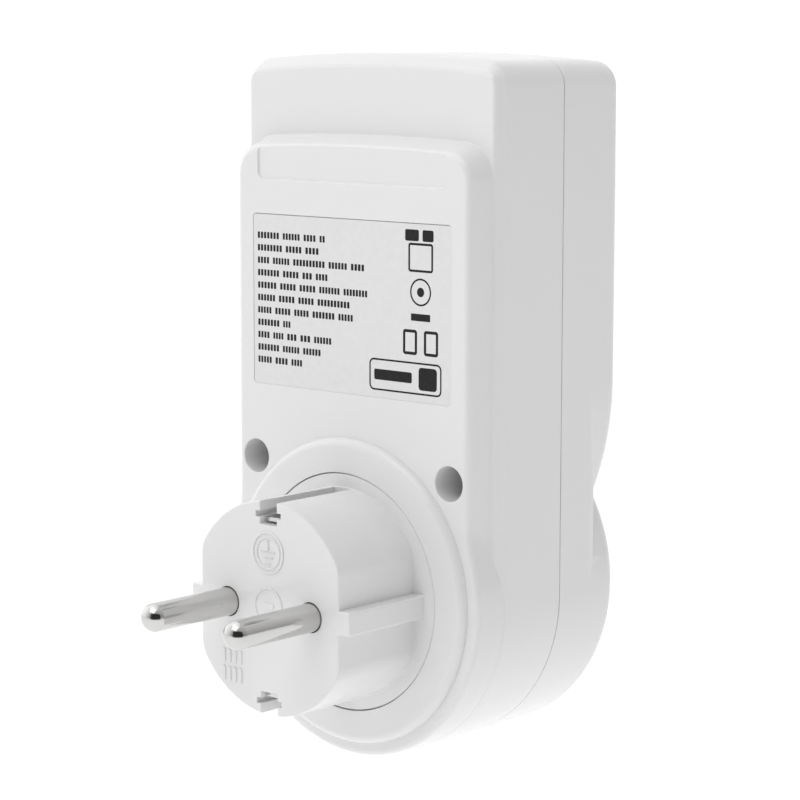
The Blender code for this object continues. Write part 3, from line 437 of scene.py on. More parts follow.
class Finish:
    """A Principled material and the few node steps that the finishes below share."""

    def __init__(self, name, colour, roughness, metallic=0.0):
        self.material = bpy.data.materials.new(name)
        self.material.use_nodes = True
        self.tree = self.material.node_tree
        self.shader = self.tree.nodes["Principled BSDF"]
        self.colour = (*colour, 1.0)
        self.shader.inputs["Base Color"].default_value = self.colour
        self.shader.inputs["Roughness"].default_value = roughness
        self.shader.inputs["Metallic"].default_value = metallic
        self.material.diffuse_color = self.colour
        self.height = None

    def node(self, kind, inputs=None, **settings):
        made = self.tree.nodes.new(kind)
        for key, value in settings.items():
            setattr(made, key, value)
        for key, value in (inputs or {}).items():
            made.inputs[key].default_value = value
        return made

    def link(self, source, target):
        self.tree.links.new(source, target)

    def place(self, stretch=(1, 1, 1)):
        """Coordinates fixed to the piece, stretched per axis."""
        coordinates = self.node("ShaderNodeTexCoord")
        mapping = self.node("ShaderNodeMapping", {"Scale": stretch})
        self.link(coordinates.outputs["Object"], mapping.inputs["Vector"])
        return mapping.outputs["Vector"]

    def noise(self, size_mm, detail=3.0, stretch=(1, 1, 1), roughness=0.55):
        look = {"Scale": 1000 / size_mm, "Detail": detail, "Roughness": roughness}
        made = self.node("ShaderNodeTexNoise", look)
        self.link(self.place(stretch), made.inputs["Vector"])
        return made.outputs["Fac"]

    def spread(self, value, low, high, from_low=0.2, from_high=0.8):
        made = self.node("ShaderNodeMapRange", {
            "From Min": from_low, "From Max": from_high, "To Min": low, "To Max": high,
        })
        self.link(value, made.inputs["Value"])
        return made.outputs["Result"]

    def glow(self, strength):
        self.shader.inputs["Emission Color"].default_value = (1, 1, 1, 1)
        self.shader.inputs["Emission Strength"].default_value = strength

    def vary_roughness(self, value, low, high):
        self.link(self.spread(value, low, high), self.shader.inputs["Roughness"])

    def vary_colour(self, value, other, amount=1.0):
        """Mixes the base colour towards another where value is high."""
        mix = self.node("ShaderNodeMix", data_type="RGBA")
        mix.inputs["A"].default_value = self.colour
        mix.inputs["B"].default_value = (*other, 1.0)
        self.link(self.spread(value, 0.0, amount), mix.inputs["Factor"])
        self.link(mix.outputs["Result"], self.shader.inputs["Base Color"])

    def bump(self, value, depth_mm, strength=1.0):
        """Adds a height to the bump; later heights sit on earlier ones."""
        made = self.node("ShaderNodeBump", {"Strength": strength, "Distance": depth_mm / 1000})
        self.link(value, made.inputs["Height"])
        if self.height:
            self.link(self.height, made.inputs["Normal"])
        self.height = made.outputs["Normal"]
        self.link(self.height, self.shader.inputs["Normal"])


def white_plastic(name, colour, roughness=0.2):
    """Moulded ABS: a fine eroded-die texture, a slow sink of the surface and a faint unevenness of gloss."""
    made = Finish(name, colour, roughness)
    made.vary_roughness(made.noise(6.0, 1.0), roughness - 0.02, roughness + 0.02)
    made.vary_colour(made.noise(16.0, 1.0), tuple(0.988 * value for value in colour))
    made.bump(made.noise(0.35, 2.0), 0.001, 0.08)
    made.bump(made.noise(14.0, 1.0), 0.006, 0.15)
    return made.material


def matt_plastic(name, colour, roughness):
    made = Finish(name, colour, roughness)
    made.vary_roughness(made.noise(1.5), roughness - 0.06, roughness + 0.08)
    made.vary_colour(made.noise(4.0), tuple(0.88 * value for value in colour))
    made.bump(made.noise(0.3, 2.0), 0.006, 0.6)
    return made.material


def polished_metal(name, colour, roughness, along=(1, 0.04, 1)):
    """Plated or rolled metal with draw marks along one axis."""
    made = Finish(name, colour, roughness, 1.0)
    marks = made.noise(0.16, 3.0, along)
    made.vary_roughness(marks, roughness - 0.05, roughness + 0.07)
    made.vary_colour(made.noise(2.5, 3.0, along), tuple(0.9 * value for value in colour))
    made.bump(marks, 0.003, 0.35)
    return made.material


def circuit_board(name, colour):
    """Solder mask over a grid of copper tracks."""
    made = Finish(name, colour, 0.38)
    tracks = made.node("ShaderNodeTexBrick", {
        "Scale": 1000.0, "Mortar Size": 0.22, "Brick Width": 5.3, "Row Height": 1.27,
        "Color1": (0, 0, 0, 1), "Color2": (0.2, 0.2, 0.2, 1), "Mortar": (1, 1, 1, 1),
    }, offset=0.37)
    turn = made.node("ShaderNodeMapping", {"Rotation": (radians(90), 0, 0)})
    made.link(made.place(), turn.inputs["Vector"])
    made.link(turn.outputs["Vector"], tracks.inputs["Vector"])
    made.vary_colour(tracks.outputs["Color"], tuple(min(1, 2.1 * value + 0.02) for value in colour), 0.8)
    made.bump(tracks.outputs["Color"], 0.035, 0.5)
    return made.material


def paper_label(name, colour):
    """Printed vinyl: a slightly mottled grey-white film with an orange-peel face."""
    made = Finish(name, colour, 0.44)
    made.vary_colour(made.noise(1.3, 5.0, roughness=0.7), tuple(0.93 * value for value in colour))
    made.vary_roughness(made.noise(0.8), 0.38, 0.52)
    made.bump(made.noise(0.5, 3.0), 0.01, 0.5)
    return made.material


def clear_plastic(name, colour):
    made = Finish(name, colour, 0.05)
    made.shader.inputs["Transmission Weight"].default_value = 1.0
    made.shader.inputs["IOR"].default_value = 1.49
    made.vary_roughness(made.noise(3.0), 0.03, 0.07)
    made.bump(made.noise(6.0, 1.0), 0.01, 0.2)
    return made.material


def display_glass(name, colour):
    """Reflective liquid-crystal panel: grey-green with the fine grain of its rear foil."""
    made = Finish(name, colour, 0.22)
    made.vary_colour(made.noise(0.12, 2.0), tuple(0.86 * value for value in colour))
    made.vary_roughness(made.noise(2.0), 0.18, 0.28)
    made.shader.inputs["Coat Weight"].default_value = 0.6
    made.shader.inputs["Coat Roughness"].default_value = 0.06
    return made.material


def rubber(name, colour):
    made = Finish(name, colour, 0.75)
    made.vary_roughness(made.noise(0.8), 0.68, 0.84)
    made.vary_colour(made.noise(1.8), tuple(0.8 * value for value in colour))
    made.bump(made.noise(0.15, 3.0), 0.01, 0.7)
    return made.material


METALS = {
    "nickel": ((0.66, 0.655, 0.645), 0.13),
    "brass": ((0.75, 0.56, 0.27), 0.28),
    "steel": ((0.58, 0.585, 0.6), 0.3),
    "spring_steel": ((0.42, 0.425, 0.44), 0.28),
}
MATT_PLASTICS = {
    "light_grey_plastic": ((0.66, 0.66, 0.65), 0.5),
    "black_plastic": ((0.03, 0.03, 0.032), 0.45),
    "shutter_red": ((0.50, 0.045, 0.035), 0.42),
    "epoxy_black": ((0.02, 0.02, 0.021), 0.35),
    "film_yellow": ((0.75, 0.56, 0.08), 0.36),
    "disc_blue": ((0.05, 0.14, 0.40), 0.36),
    "shrink_green": ((0.08, 0.34, 0.17), 0.32),
    "lead_brown": ((0.15, 0.065, 0.03), 0.42),
    "lead_red": ((0.46, 0.035, 0.03), 0.42),
    "lead_blue": ((0.035, 0.12, 0.42), 0.42),
    "ribbon_grey": ((0.5, 0.5, 0.51), 0.5),
}


def finishes():
    """One material for each slot of the record."""
    made = {name: matt_plastic(name, *look) for name, look in MATT_PLASTICS.items()}
    made.update({name: polished_metal(name, *look) for name, look in METALS.items()})
    made["white_abs"] = white_plastic("white_abs", (0.81, 0.81, 0.81))
    made["key_grey"] = white_plastic("key_grey", (0.42, 0.44, 0.46), 0.42)
    made["board_green"] = circuit_board("board_green", (0.035, 0.17, 0.075))
    made["label_grey"] = paper_label("label_grey", (0.79, 0.79, 0.79))
    made["clear_lens"] = clear_plastic("clear_lens", (0.97, 0.985, 0.98))
    made["lcd_glass"] = display_glass("lcd_glass", (0.40, 0.445, 0.37))
    made["rubber_grey"] = rubber("rubber_grey", (0.27, 0.27, 0.28))
    return made


FINISH = finishes()
INK = Finish("printing_ink", (0.008, 0.008, 0.009), 0.5)
INK.shader.inputs["Specular IOR Level"].default_value = 0.15
INK.vary_roughness(INK.noise(0.6), 0.42, 0.6)
INK.vary_colour(INK.noise(0.25, 3.0), (0.03, 0.03, 0.032))


def finish_cad_nodes():
    """The record's slot decides the finish of each solid that stays as the CAD made it."""
    for part in frame["record"]["subparts"]:
        materials = NODES[part["node"]].data.materials
        materials.clear()
        materials.append(FINISH[part["material_slot"]])


# --- rear casing ---

SEAM_HALF = 0.09
SEAM_ROUND = 0.14


def bezier(start, handle, end, steps=7):
    """Points along a curve that leaves start towards handle and comes to end from it."""
    return [
        tuple((1 - t) ** 2 * a + 2 * t * (1 - t) * b + t * t * c for a, b, c in zip(start, handle, end))
        for t in (i / steps for i in range(steps + 1))
    ]


def back_edge_rings():
    """The body's back edge: a chamfer rolled at both ends, wider on top than at the sides."""
    profile = bezier((0.0, 2.7), (0.0, CHAMFER_DEPTH), (0.25, 1.76))
    profile += bezier((1.0, 0.44), (CHAMFER_SIDE, 0.0), (1.75, 0.0))
    rings = []
    for inset, depth in profile:
        rolled = max(0.0, inset - CHAMFER_SIDE)
        top_inset = (inset - rolled) * CHAMFER_TOP / CHAMFER_SIDE + rolled
        corner = max(0.8, CORNER_RADIUS - 2 * inset)
        rings.append((body_outline(inset, top_inset, corner), BACK_Y - depth))
    return rings


def pad_rings():
    """The pad's wall from inside the body up: a small cove under its top edge, draft and a rounded rim."""
    cove = 0.3
    rings = [
        (pad_section(BACK_Y - 2.6, 0.3), BACK_Y - 2.6),
        (pad_section(BACK_Y - 1.9, 0, cove), BACK_Y - 1.9),
    ]
    for spread, y in quarter(0, BACK_Y, cove, -1, -1, 5)[::-1]:
        rings.append((pad_section(y, 0, spread), y))
    for inset, y in quarter(0, PAD_Y, PAD_FILLET, -1, 1, 9):
        rings.append((pad_section(y, inset), y))
    return rings


def recess_cutter(name, centre_z, half_x, half_z, corner, run):
    """A shallow pocket in the pad, whose wall is an S curve that takes this run to climb to the pad."""
    rings = []
    for i in range(9):
        inset = run * (0.5 - i / 8)
        outline = rounded_rectangle(0, centre_z, half_x - inset, half_z - inset, corner - inset)
        rings.append((outline, PAD_Y - RECESS_DEPTH * (1 + cos(pi * i / 8)) / 2))
    return loft(name, rings + [(rings[-1][0], PAD_Y + 3)])


def ring_boss():
    """The raised ring round the plug: flat top and a quarter-round edge down to the pad."""
    edge = RING_Y - PAD_Y
    rim = quarter(RING_BASE_RADIUS, RING_Y, edge, 1, 1, 12)
    return turned("ring_boss", [(0, PAD_Y - 1.5), (RING_BASE_RADIUS, PAD_Y - 1.5)] + rim + [(0, RING_Y)])


def hole_cutter(name, at, end_y):
    """A counterbored screw hole with a rounded mouth."""
    soft = 0.22
    mouth = quarter(SCREW_HOLE_RADIUS, PAD_Y, soft, -1, 1)[::-1]
    return turned(name, [
        (0, PAD_Y + 3),
        (SCREW_HOLE_RADIUS + soft, PAD_Y + 3),
        *mouth,
        (SCREW_HOLE_RADIUS, SCREW_SEAT_Y),
        (SCREW_SHAFT_HOLE, SCREW_SEAT_Y),
        (SCREW_SHAFT_HOLE, end_y),
        (0, end_y),
    ], at, 64)


def rear_casing():
    """Back half of the housing, with its pad, ring boss, recesses, screw holes and inner posts."""
    lip_inset, lip_end = 1.15, SEAM_Y - 1.2
    rim = SEAM_Y + SEAM_HALF
    lip = [(body_outline(lip_inset), lip_end), (body_outline(lip_inset), rim)]
    rim_rings = rounded_edge(body_outline, rim, SEAM_ROUND, -1, 4)[::-1]
    shell = loft("rear_casing", lip + rim_rings + back_edge_rings())
    fused(shell, loft("pad", pad_rings()), ring_boss())
    pad_inside = pad_outline(PAD_HALF - WALL, PAD_LOBE - WALL, PAD_TOP_Z - WALL, 2.6)
    carved(
        shell,
        prism("cavity", body_outline(WALL), lip_end - 1, BACK_Y - WALL),
        prism("pad_cavity", pad_inside, BACK_Y - WALL - 1, PAD_Y - WALL),
    )
    tower_radius, tower_end = 4.2, -34.0
    posts, cutters = [], []
    for at in SCREW_PLACES:
        posts.append(rod(f"tower_{at[0]}", at, tower_radius, PAD_Y - 1, tower_end))
    for x in (-20.5, 20.5):
        for z, start in ((33.0, PAD_Y - 1), (82.0, BACK_Y - 1)):
            posts.append(rod(f"post_{x}_{z}", (x, z), 2.4, start, -27.7, 24))
            cutters.append(rod(f"pilot_{x}_{z}", (x, z), 1.1, start - 0.2, -29.0, 16))
    fused(shell, *posts)
    cutters += [hole_cutter(f"hole_{at[0]}", at, tower_end - 1) for at in SCREW_PLACES]
    soft, hole_end = 0.1, PAD_Y - 4
    opening = turned("opening", [
        (0, RING_Y + 2),
        (RING_HOLE_RADIUS + soft, RING_Y + 2),
        *quarter(RING_HOLE_RADIUS, RING_Y, soft, -1, 1)[::-1],
        (RING_HOLE_RADIUS, hole_end),
        (0, hole_end),
    ])
    label_half = ((LABEL_HIGH.x - LABEL_LOW.x) / 2 + 0.35, (LABEL_HIGH.z - LABEL_LOW.z) / 2 + 0.35)
    label_recess = recess_cutter("label_recess", LABEL_Z, *label_half, 0.6, 0.16)
    thumb_recess = recess_cutter("thumb_recess", 74.7, 21.45, 5.0, 1.5, 0.36)
    carved(shell, opening, *cutters, label_recess, thumb_recess)
    return piece(shell, "white_abs", ["rear_shell"])


# --- front casing ---

BASE_FILLET = 1.1
BASE_RUN = 3.0
BLOCK_FILLET = 0.95
BLOCK_RUN = 1.9
BLOCK_DROP = 0.25


def key_outline(angle, straight, radius):
    """A pill on the key arc, turned so that its length follows the arc."""
    turn = radians(angle)
    centre_x, centre_z = KEY_ARC_RADIUS * sin(turn), KEY_ARC_RADIUS * cos(turn)
    return [
        (centre_x + x * cos(turn) + z * sin(turn), centre_z - x * sin(turn) + z * cos(turn))
        for x, z in pill(straight, radius)
    ]


def key_hole_cutter(name, angle):
    """A hole for a key, with a rounded mouth."""
    def outline(spread):
        return key_outline(angle, 1.5, 3.2 + spread)

    soft = 0.18
    mouth = rounded_edge(outline, FRONT_Y, soft, -1, 5)
    return loft(name, [(outline(0), FRONT_Y + 4)] + mouth + [(outline(soft), FRONT_Y - 1)])


def window_cutters():
    """The pocket for the lens, with a rounded mouth, and the window through the wall behind it."""
    half_x, half_z = (LENS_HIGH.x - LENS_LOW.x) / 2 + 0.2, (LENS_HIGH.z - LENS_LOW.z) / 2 + 0.2
    soft = 0.2

    def outline(spread):
        return rounded_rectangle(0, WINDOW_Z, half_x + spread, half_z + spread, 2.7 + spread)

    mouth = rounded_edge(outline, FRONT_Y, soft, -1, 5)
    pocket = loft("window_recess", [(outline(0), FRONT_Y + 1.3)] + mouth + [(outline(soft), FRONT_Y - 1)])
    window_outline = rounded_rectangle(0, WINDOW_Z, 21.8, 14.3, 1.5)
    return [pocket, prism("window", window_outline, FRONT_Y - 1, FRONT_Y + 4)]


def front_casing():
    """Front half: base, raised display block and socket collar, with its openings and inner posts."""
    def block_outline(inset):
        return lobes_outline(inset, BLOCK_DROP)

    rim = SEAM_Y - SEAM_HALF
    rim_rings = rounded_edge(body_outline, rim, SEAM_ROUND, 1, 4)[::-1]
    base_edge = rounded_edge(body_outline, BASE_Y, BASE_FILLET, -1, 16, BASE_RUN)
    block_start = [(lobes_outline(0), rim - 3), (lobes_outline(0), BASE_Y + BASE_FILLET)]
    block_edge = rounded_edge(block_outline, FRONT_Y, BLOCK_FILLET, -1, 16, BLOCK_RUN)
    shell = fused(loft("front_casing", rim_rings + base_edge), loft("block", block_start + block_edge))
    rebate, rebate_end = 0.85, SEAM_Y - 1.5
    carved(
        shell,
        loft("front_cavity", [
            (body_outline(rebate), rim + 1),
            (body_outline(rebate), rebate_end),
            (body_outline(WALL), rebate_end),
            (body_outline(WALL), BASE_Y + WALL),
        ]),
        prism("block_cavity", lobes_outline(WALL), BASE_Y + WALL + 2, FRONT_Y + FRONT_WALL),
    )
    inner = FRONT_Y + FRONT_WALL / 2
    posts, cutters = [], []
    for at in SCREW_PLACES:
        posts.append(rod(f"front_tower_{at[0]}", at, 2.9, inner, -34.3, 32))
        cutters.append(rod(f"front_pilot_{at[0]}", at, 1.7, FRONT_Y + 6, -33.0, 24))
    for x in (-21.0, 21.0):
        for z in (85.2, 43.5):
            posts.append(rod(f"front_post_{x}_{z}", (x, z), 2.2, inner, -45.9, 24))
            cutters.append(rod(f"front_post_pilot_{x}_{z}", (x, z), 1.1, FRONT_Y + 3.5, -44.6, 16))
    fused(shell, *posts)
    radius, soft, hole_end = 20.6, 0.25, FRONT_Y + 4
    cutters.append(turned("socket_opening", [
        (0, FRONT_Y - 1),
        (radius + soft, FRONT_Y - 1),
        *quarter(radius, FRONT_Y, soft, -1, -1)[::-1],
        (radius, hole_end),
        (0, hole_end),
    ]))
    cutters += window_cutters() + [key_hole_cutter(f"key_hole_{name}", angle) for name, angle in KEYS]
    carved(shell, *cutters)
    return piece(shell, "white_abs", ["front_shell"])


# --- plug ---

def plug_outline(inset):
    """Round plug body that rolls into side flats, each with a key rib on the centre line."""
    flat, roll = PLUG_FLAT - inset, PLUG_ROLL - inset
    reach, half = PLUG_RIB_REACH - inset, PLUG_RIB_HALF - inset
    corner, foot = 0.3, 0.12
    roll_x = PLUG_FLAT - PLUG_ROLL
    roll_z = sqrt((PLUG_RADIUS - PLUG_ROLL) ** 2 - roll_x ** 2)
    meet = degrees(atan2(roll_z, roll_x))
    upper = arc(roll_x, roll_z, roll, 0, meet, 8) + arc(0, 0, PLUG_RADIUS - inset, meet, 90, 30)[1:]
    foot_up = [(flat + foot, half), (flat + foot * 0.3, half + foot * 0.3), (flat, half + foot)]
    rib_up = arc(reach - corner, half - corner, corner, 0, 90, 4) + foot_up
    right = rib_up + upper
    return mirrored([(x, -z) for x, z in reversed(right)] + right)


MARK_ROOT = 0.05


def relief_bar(name, centre_x, centre_z, half_x, half_z, height):
    """A low moulded bar on the plug's face, with a drafted side."""
    draft, line = 0.05, min(half_x, half_z)
    wide = rounded_rectangle(centre_x, centre_z, half_x, half_z, line * 0.9, 3)
    narrow = rounded_rectangle(centre_x, centre_z, half_x - draft, half_z - draft, line * 0.8, 3)
    return loft(name, [(wide, -MARK_ROOT), (wide, height * 0.35), (narrow, height)])


def relief_ring(name, centre_x, centre_z, radius, width, height):
    """A low moulded ring on the plug's face."""
    inner, outer, draft = radius - width / 2, radius + width / 2, 0.05
    return turned(name, [
        (inner, -MARK_ROOT),
        (outer, -MARK_ROOT),
        (outer, height * 0.35),
        (outer - draft, height),
        (inner + draft, height),
        (inner, height * 0.35),
    ], (centre_x, centre_z), 72)


def face_marks():
    """The earth sign in its double ring, a plain mould ring and a plain cavity mark, all in low relief."""
    height, line = 0.19, 0.34
    earth_z = 9.52
    marks = [relief_ring("earth_ring_outer", 0, earth_z, 3.42, line, height),
             relief_ring("earth_ring_inner", 0, earth_z, 2.62, line, height),
             relief_bar("earth_stem", 0, earth_z + 1.2, line / 2, 1.0, height)]
    for number, half in enumerate((1.6, 1.1, 0.7)):
        marks.append(relief_bar(f"earth_bar_{number}", 0, earth_z + 0.2 - number, half, line / 2, height))
    marks.append(relief_ring("mould_ring", 0, 0.5, 3.05, line, height))
    marks.append(relief_bar("mould_mark_centre", 0, 0.5, 1.3, 0.5, height))
    for column in range(4):
        x = 6.7 + 1.3 * column
        marks.append(relief_bar(f"cavity_mark_{column}", x, -9.35, 0.42, 1.25, height))
        marks.append(relief_bar(f"cavity_count_{column}", x, -12.45, 0.42, 1.3, height))
    piece(joined("plug_face_marks", marks), "white_abs")


def earth_groove_cutters(tag, end):
    """The groove for the earth contact at one end of the plug, its undercut and the strap's passage."""
    floor, rim, soft = end * GROOVE_FLOOR, end * 20.0, 0.2
    low_cut, high_cut = sorted((end * 15.35, end * 16.4))
    low_passage, high_passage = sorted((floor, end * 15.6))
    mouth = quarter(GROOVE_HALF, 0, soft, -1, 1, 4)
    return [
        loft(f"groove_{tag}", [
            (rounded_rectangle(0, (floor + rim) / 2, half, abs(rim - floor) / 2, 0.05, 1), y)
            for half, y in [(GROOVE_HALF, GROOVE_END), *mouth, (GROOVE_HALF + soft, 1.0)]
        ]),
        slab(f"undercut_{tag}", (-2.9, GROOVE_END, low_cut), (2.9, 1.0, high_cut)),
        slab(f"passage_{tag}", (-GROOVE_HALF, -21.0, low_passage), (GROOVE_HALF, -16.5, high_passage)),
    ]


def plug_moulding():
    """Plug body with grooves and ribs, the disc that fills the ring and the flange behind the casing."""
    def root_outline(spread):
        return plug_outline(-spread)

    flange_y = PAD_Y - WALL - 0.3
    disc_y = RING_Y - 0.1
    root = 0.15
    start = [(root_outline(root), disc_y - 1.9)]
    flare = rounded_edge(root_outline, disc_y - 0.005, root, -1, 5)[::-1]
    body = loft("plug_moulding", start + flare + rounded_edge(plug_outline, 0, 0.3, 1, 5))
    fused(body, turned("disc", [
        (0, disc_y),
        *quarter(INSERT_RADIUS, disc_y, 0.36, 1, 1)[::-1],
        (INSERT_RADIUS, flange_y),
        (FLANGE_RADIUS, flange_y),
        (FLANGE_RADIUS, flange_y - 2),
        (0, flange_y - 2),
    ]))
    cutters = [
        prism("plug_cavity", rounded_rectangle(0, 0, 13.7, 11.6, 3.5), -3.0, -25.0),
        rod("plug_recess", (0, 0), 17.0, -20.0, -25.0, 96),
        slab("strap_slot", (-2.9, -25.0, -19.0), (2.9, -20.3, 19.0)),
        slab("lead_notch", (-9.5, -25.0, 12.0), (-3.5, -20.5, 25.0)),
        slab("neutral_notch", (3.5, -25.0, 12.0), (9.5, -20.5, 25.0)),
    ]
    for tag, end in ENDS:
        cutters += earth_groove_cutters(tag, end)
    for tag, side in SIDES:
        cutters.append(turned(f"pin_hole_{tag}", [
            (0, 1.0),
            (PIN_RADIUS + 0.2, 1.0),
            (PIN_RADIUS + 0.2, 0.0),
            (PIN_RADIUS + 0.12, -0.1),
            (PIN_RADIUS + 0.12, -4.0),
            (0, -4.0),
        ], (side * PIN_OFFSET, 0), 64))
    carved(body, *cutters)
    return piece(body, "white_abs", ["plug_insert"])


def plug_pins():
    """Nickel-plated pins: a domed tip with a slight flat, a collar and a rivet tail."""
    dome = 2.15
    tip = [
        (PIN_RADIUS * cos(radians(a)), PIN_LENGTH - dome + dome * sin(radians(a)))
        for a in range(84, -1, -6)
    ]
    collar = [(PIN_RADIUS, -3.3), (3.7, -3.3), (3.8, -3.4), (3.8, -5.2), (3.7, -5.3)]
    tail = [(2.0, -5.3), (2.0, -12.0), (1.5, -12.0), (1.5, -17.3), (1.4, -17.4), (0, -17.4)]
    for label, side in SIDES:
        profile = [(0, PIN_LENGTH)] + tip + collar + tail
        pin = turned(f"contact_pin_{label}", profile, (side * PIN_OFFSET, 0), 72)
        piece(pin, "nickel", [f"plug_pin_{label}"])


def earth_contacts():
    """The bent earth strap: cross-bar, contacts in the plug's grooves and sprung clips in the socket."""
    contact = [(-21.0, 14.6), (-16.0, 14.6), (-11.0, 14.65), (-7.5, 15.1)]
    contact += [(-4.0, 14.75), (-2.0, 14.6), (-1.2, 14.6)]
    clip = [(-21.0, 17.8), (-40.0, 17.8), (-47.0, 16.3), (-51.0, 15.9), (-53.5, 17.0), (-54.6, 17.9)]
    thickness = 0.7
    parts = []
    for tag, end in ENDS:
        contact_path = [(y, end * z) for y, z in thick(smooth_route(contact, 6), thickness)]
        clip_path = [(y, end * z) for y, z in thick(smooth_route(clip, 8), -thickness)]
        parts.append(strip(f"strap_contact_{tag}", contact_path, -1.65, 1.65))
        parts.append(strip(f"strap_clip_{tag}", clip_path, -2.4, 2.4))
    strap = fused(slab("earth_contacts", (-2.5, -21.4, -18.6), (2.5, -20.6, 18.6)), *parts)
    softened(strap, 0.1, 2, 50)
    return piece(strap, "nickel", ["earth_strap"], sharp=40)


# --- socket ---

def socket_keys():
    """The two pairs of keys that guide a plug's flat sides."""
    keys = []
    for side in (-1, 1):
        for end in (-1, 1):
            def outline(inset, side=side, end=end):
                return rounded_rectangle(side * 18.25, end * 5.4, 1.75 - inset, 2.8 - inset, 0.4 - inset, 4)

            rings = [(outline(0), SOCKET_FLOOR_Y + 0.5)] + rounded_edge(outline, -53.4, 0.35, -1, 4)
            keys.append(loft(f"key_{side}_{end}", rings))
    return keys


def socket_well():
    """Outlet recess: rounded rim, flange, wall, floor with pin holes, keys, pivot and screw posts."""
    flange_y = FRONT_Y + FRONT_WALL + 0.3
    cup = turned("socket_well", [
        (0, SOCKET_FLOOR_Y),
        *quarter(SOCKET_RADIUS, SOCKET_FLOOR_Y, 0.5, 1, 1)[::-1],
        *quarter(SOCKET_RADIUS, SOCKET_MOUTH_Y, 0.5, -1, -1),
        (20.2, SOCKET_MOUTH_Y),
        (20.3, SOCKET_MOUTH_Y + 0.1),
        (20.3, flange_y),
        (23.0, flange_y),
        (23.0, flange_y + 1.6),
        (21.3, flange_y + 1.6),
        (21.3, FLOOR_BACK_Y),
        (0, FLOOR_BACK_Y),
    ])
    inner = SOCKET_FLOOR_Y + 1
    posts, cutters = [rod("pivot", (0, 0), 1.8, inner, -31.9, 32)], []
    for tag, side in SIDES:
        at = (side * CARRIER_SCREW, -side * CARRIER_SCREW)
        posts.append(rod(f"carrier_post_{tag}", at, 2.2, inner, -34.8, 32))
        cutters.append(rod(f"carrier_pilot_{tag}", at, 1.2, SOCKET_FLOOR_Y + 0.9, -34.0, 24))
        cutters.append(turned(f"socket_pin_hole_{tag}", [
            (0, SOCKET_FLOOR_Y - 1),
            (PIN_HOLE_RADIUS + 1.5, SOCKET_FLOOR_Y - 1),
            (PIN_HOLE_RADIUS + 0.5, SOCKET_FLOOR_Y),
            (PIN_HOLE_RADIUS + 0.12, SOCKET_FLOOR_Y + 0.38),
            (PIN_HOLE_RADIUS, SOCKET_FLOOR_Y + 0.8),
            (PIN_HOLE_RADIUS, FLOOR_BACK_Y + 1),
            (0, FLOOR_BACK_Y + 1),
        ], (side * PIN_OFFSET, 0), 64))
        slot = rounded_rectangle(0, side * 18.0, 2.9, 1.1, 0.3, 4)
        cutters.append(prism(f"earth_slot_{tag}", slot, SOCKET_FLOOR_Y - 0.5, FLOOR_BACK_Y + 1))
    fused(cup, *socket_keys(), *posts)
    carved(cup, *cutters)
    return piece(cup, "white_abs", ["socket_cup"])


# --- screws, label, display, keys ---

def case_screw(label, at):
    """A pan-head self-tapping screw: crowned head with a cross recess, and ridges for its thread."""
    low, high = box_mm(f"housing_screw_{label}")
    head_y, seat_y, tip_y = high.y, SCREW_SEAT_Y + 0.1, low.y
    head, ridge, core, pitch = 2.7, 1.45, 1.073, 1.1
    thick_head, crown_end = head_y - seat_y, 62
    profile = [(0, head_y)]
    for angle in range(10, crown_end + 1, 13):
        share = (1 - cos(radians(angle))) / (1 - cos(radians(crown_end)))
        profile.append((head * sin(radians(angle)), head_y - 0.45 * thick_head * share))
    profile += [(head, seat_y + 0.35 * thick_head), (head, seat_y), (core, seat_y)]
    for turn in range(int((seat_y - tip_y - 2.0) / pitch)):
        y = seat_y - 1.0 - turn * pitch
        profile += [(core, y), (core, y - 0.35 * pitch), (ridge, y - 0.62 * pitch)]
    profile += [(core, tip_y + 1.0), (0.4 * ridge, tip_y + 0.2), (0, tip_y)]
    screw = turned(f"case_screw_{label}", profile, at, 40)
    reach, slot, floor_y = 0.56 * head, 0.15 * head, head_y - 0.62 * thick_head
    for half_x, half_z in ((reach, slot), (slot, reach)):
        low_corner = (at[0] - half_x, floor_y, at[1] - half_z)
        carved(screw, slab("cross_recess", low_corner, (at[0] + half_x, head_y + 1, at[1] + half_z)))
    piece(screw, "steel", [f"housing_screw_{label}"])


def housing_screws():
    for (label, _), at in zip(SIDES, SCREW_PLACES):
        case_screw(label, at)


LABEL_ROWS = (
    (5.3, 4.2, 3.0, 1.4),
    (6.0, 3.9, 3.3),
    (2.9, 4.1, 7.6, 4.4, 3.2),
    (5.3, 3.9, 2.4, 2.9),
    (4.6, 3.9, 3.9, 4.9, 5.6),
    (4.3, 3.9, 3.8, 7.6),
    (3.4, 3.8, 3.6, 5.3, 3.5),
    (5.3, 1.9),
    (2.9, 2.6, 2.4, 2.5, 4.2),
    (5.2, 4.1, 4.3),
    (3.4, 3.1, 2.7),
)


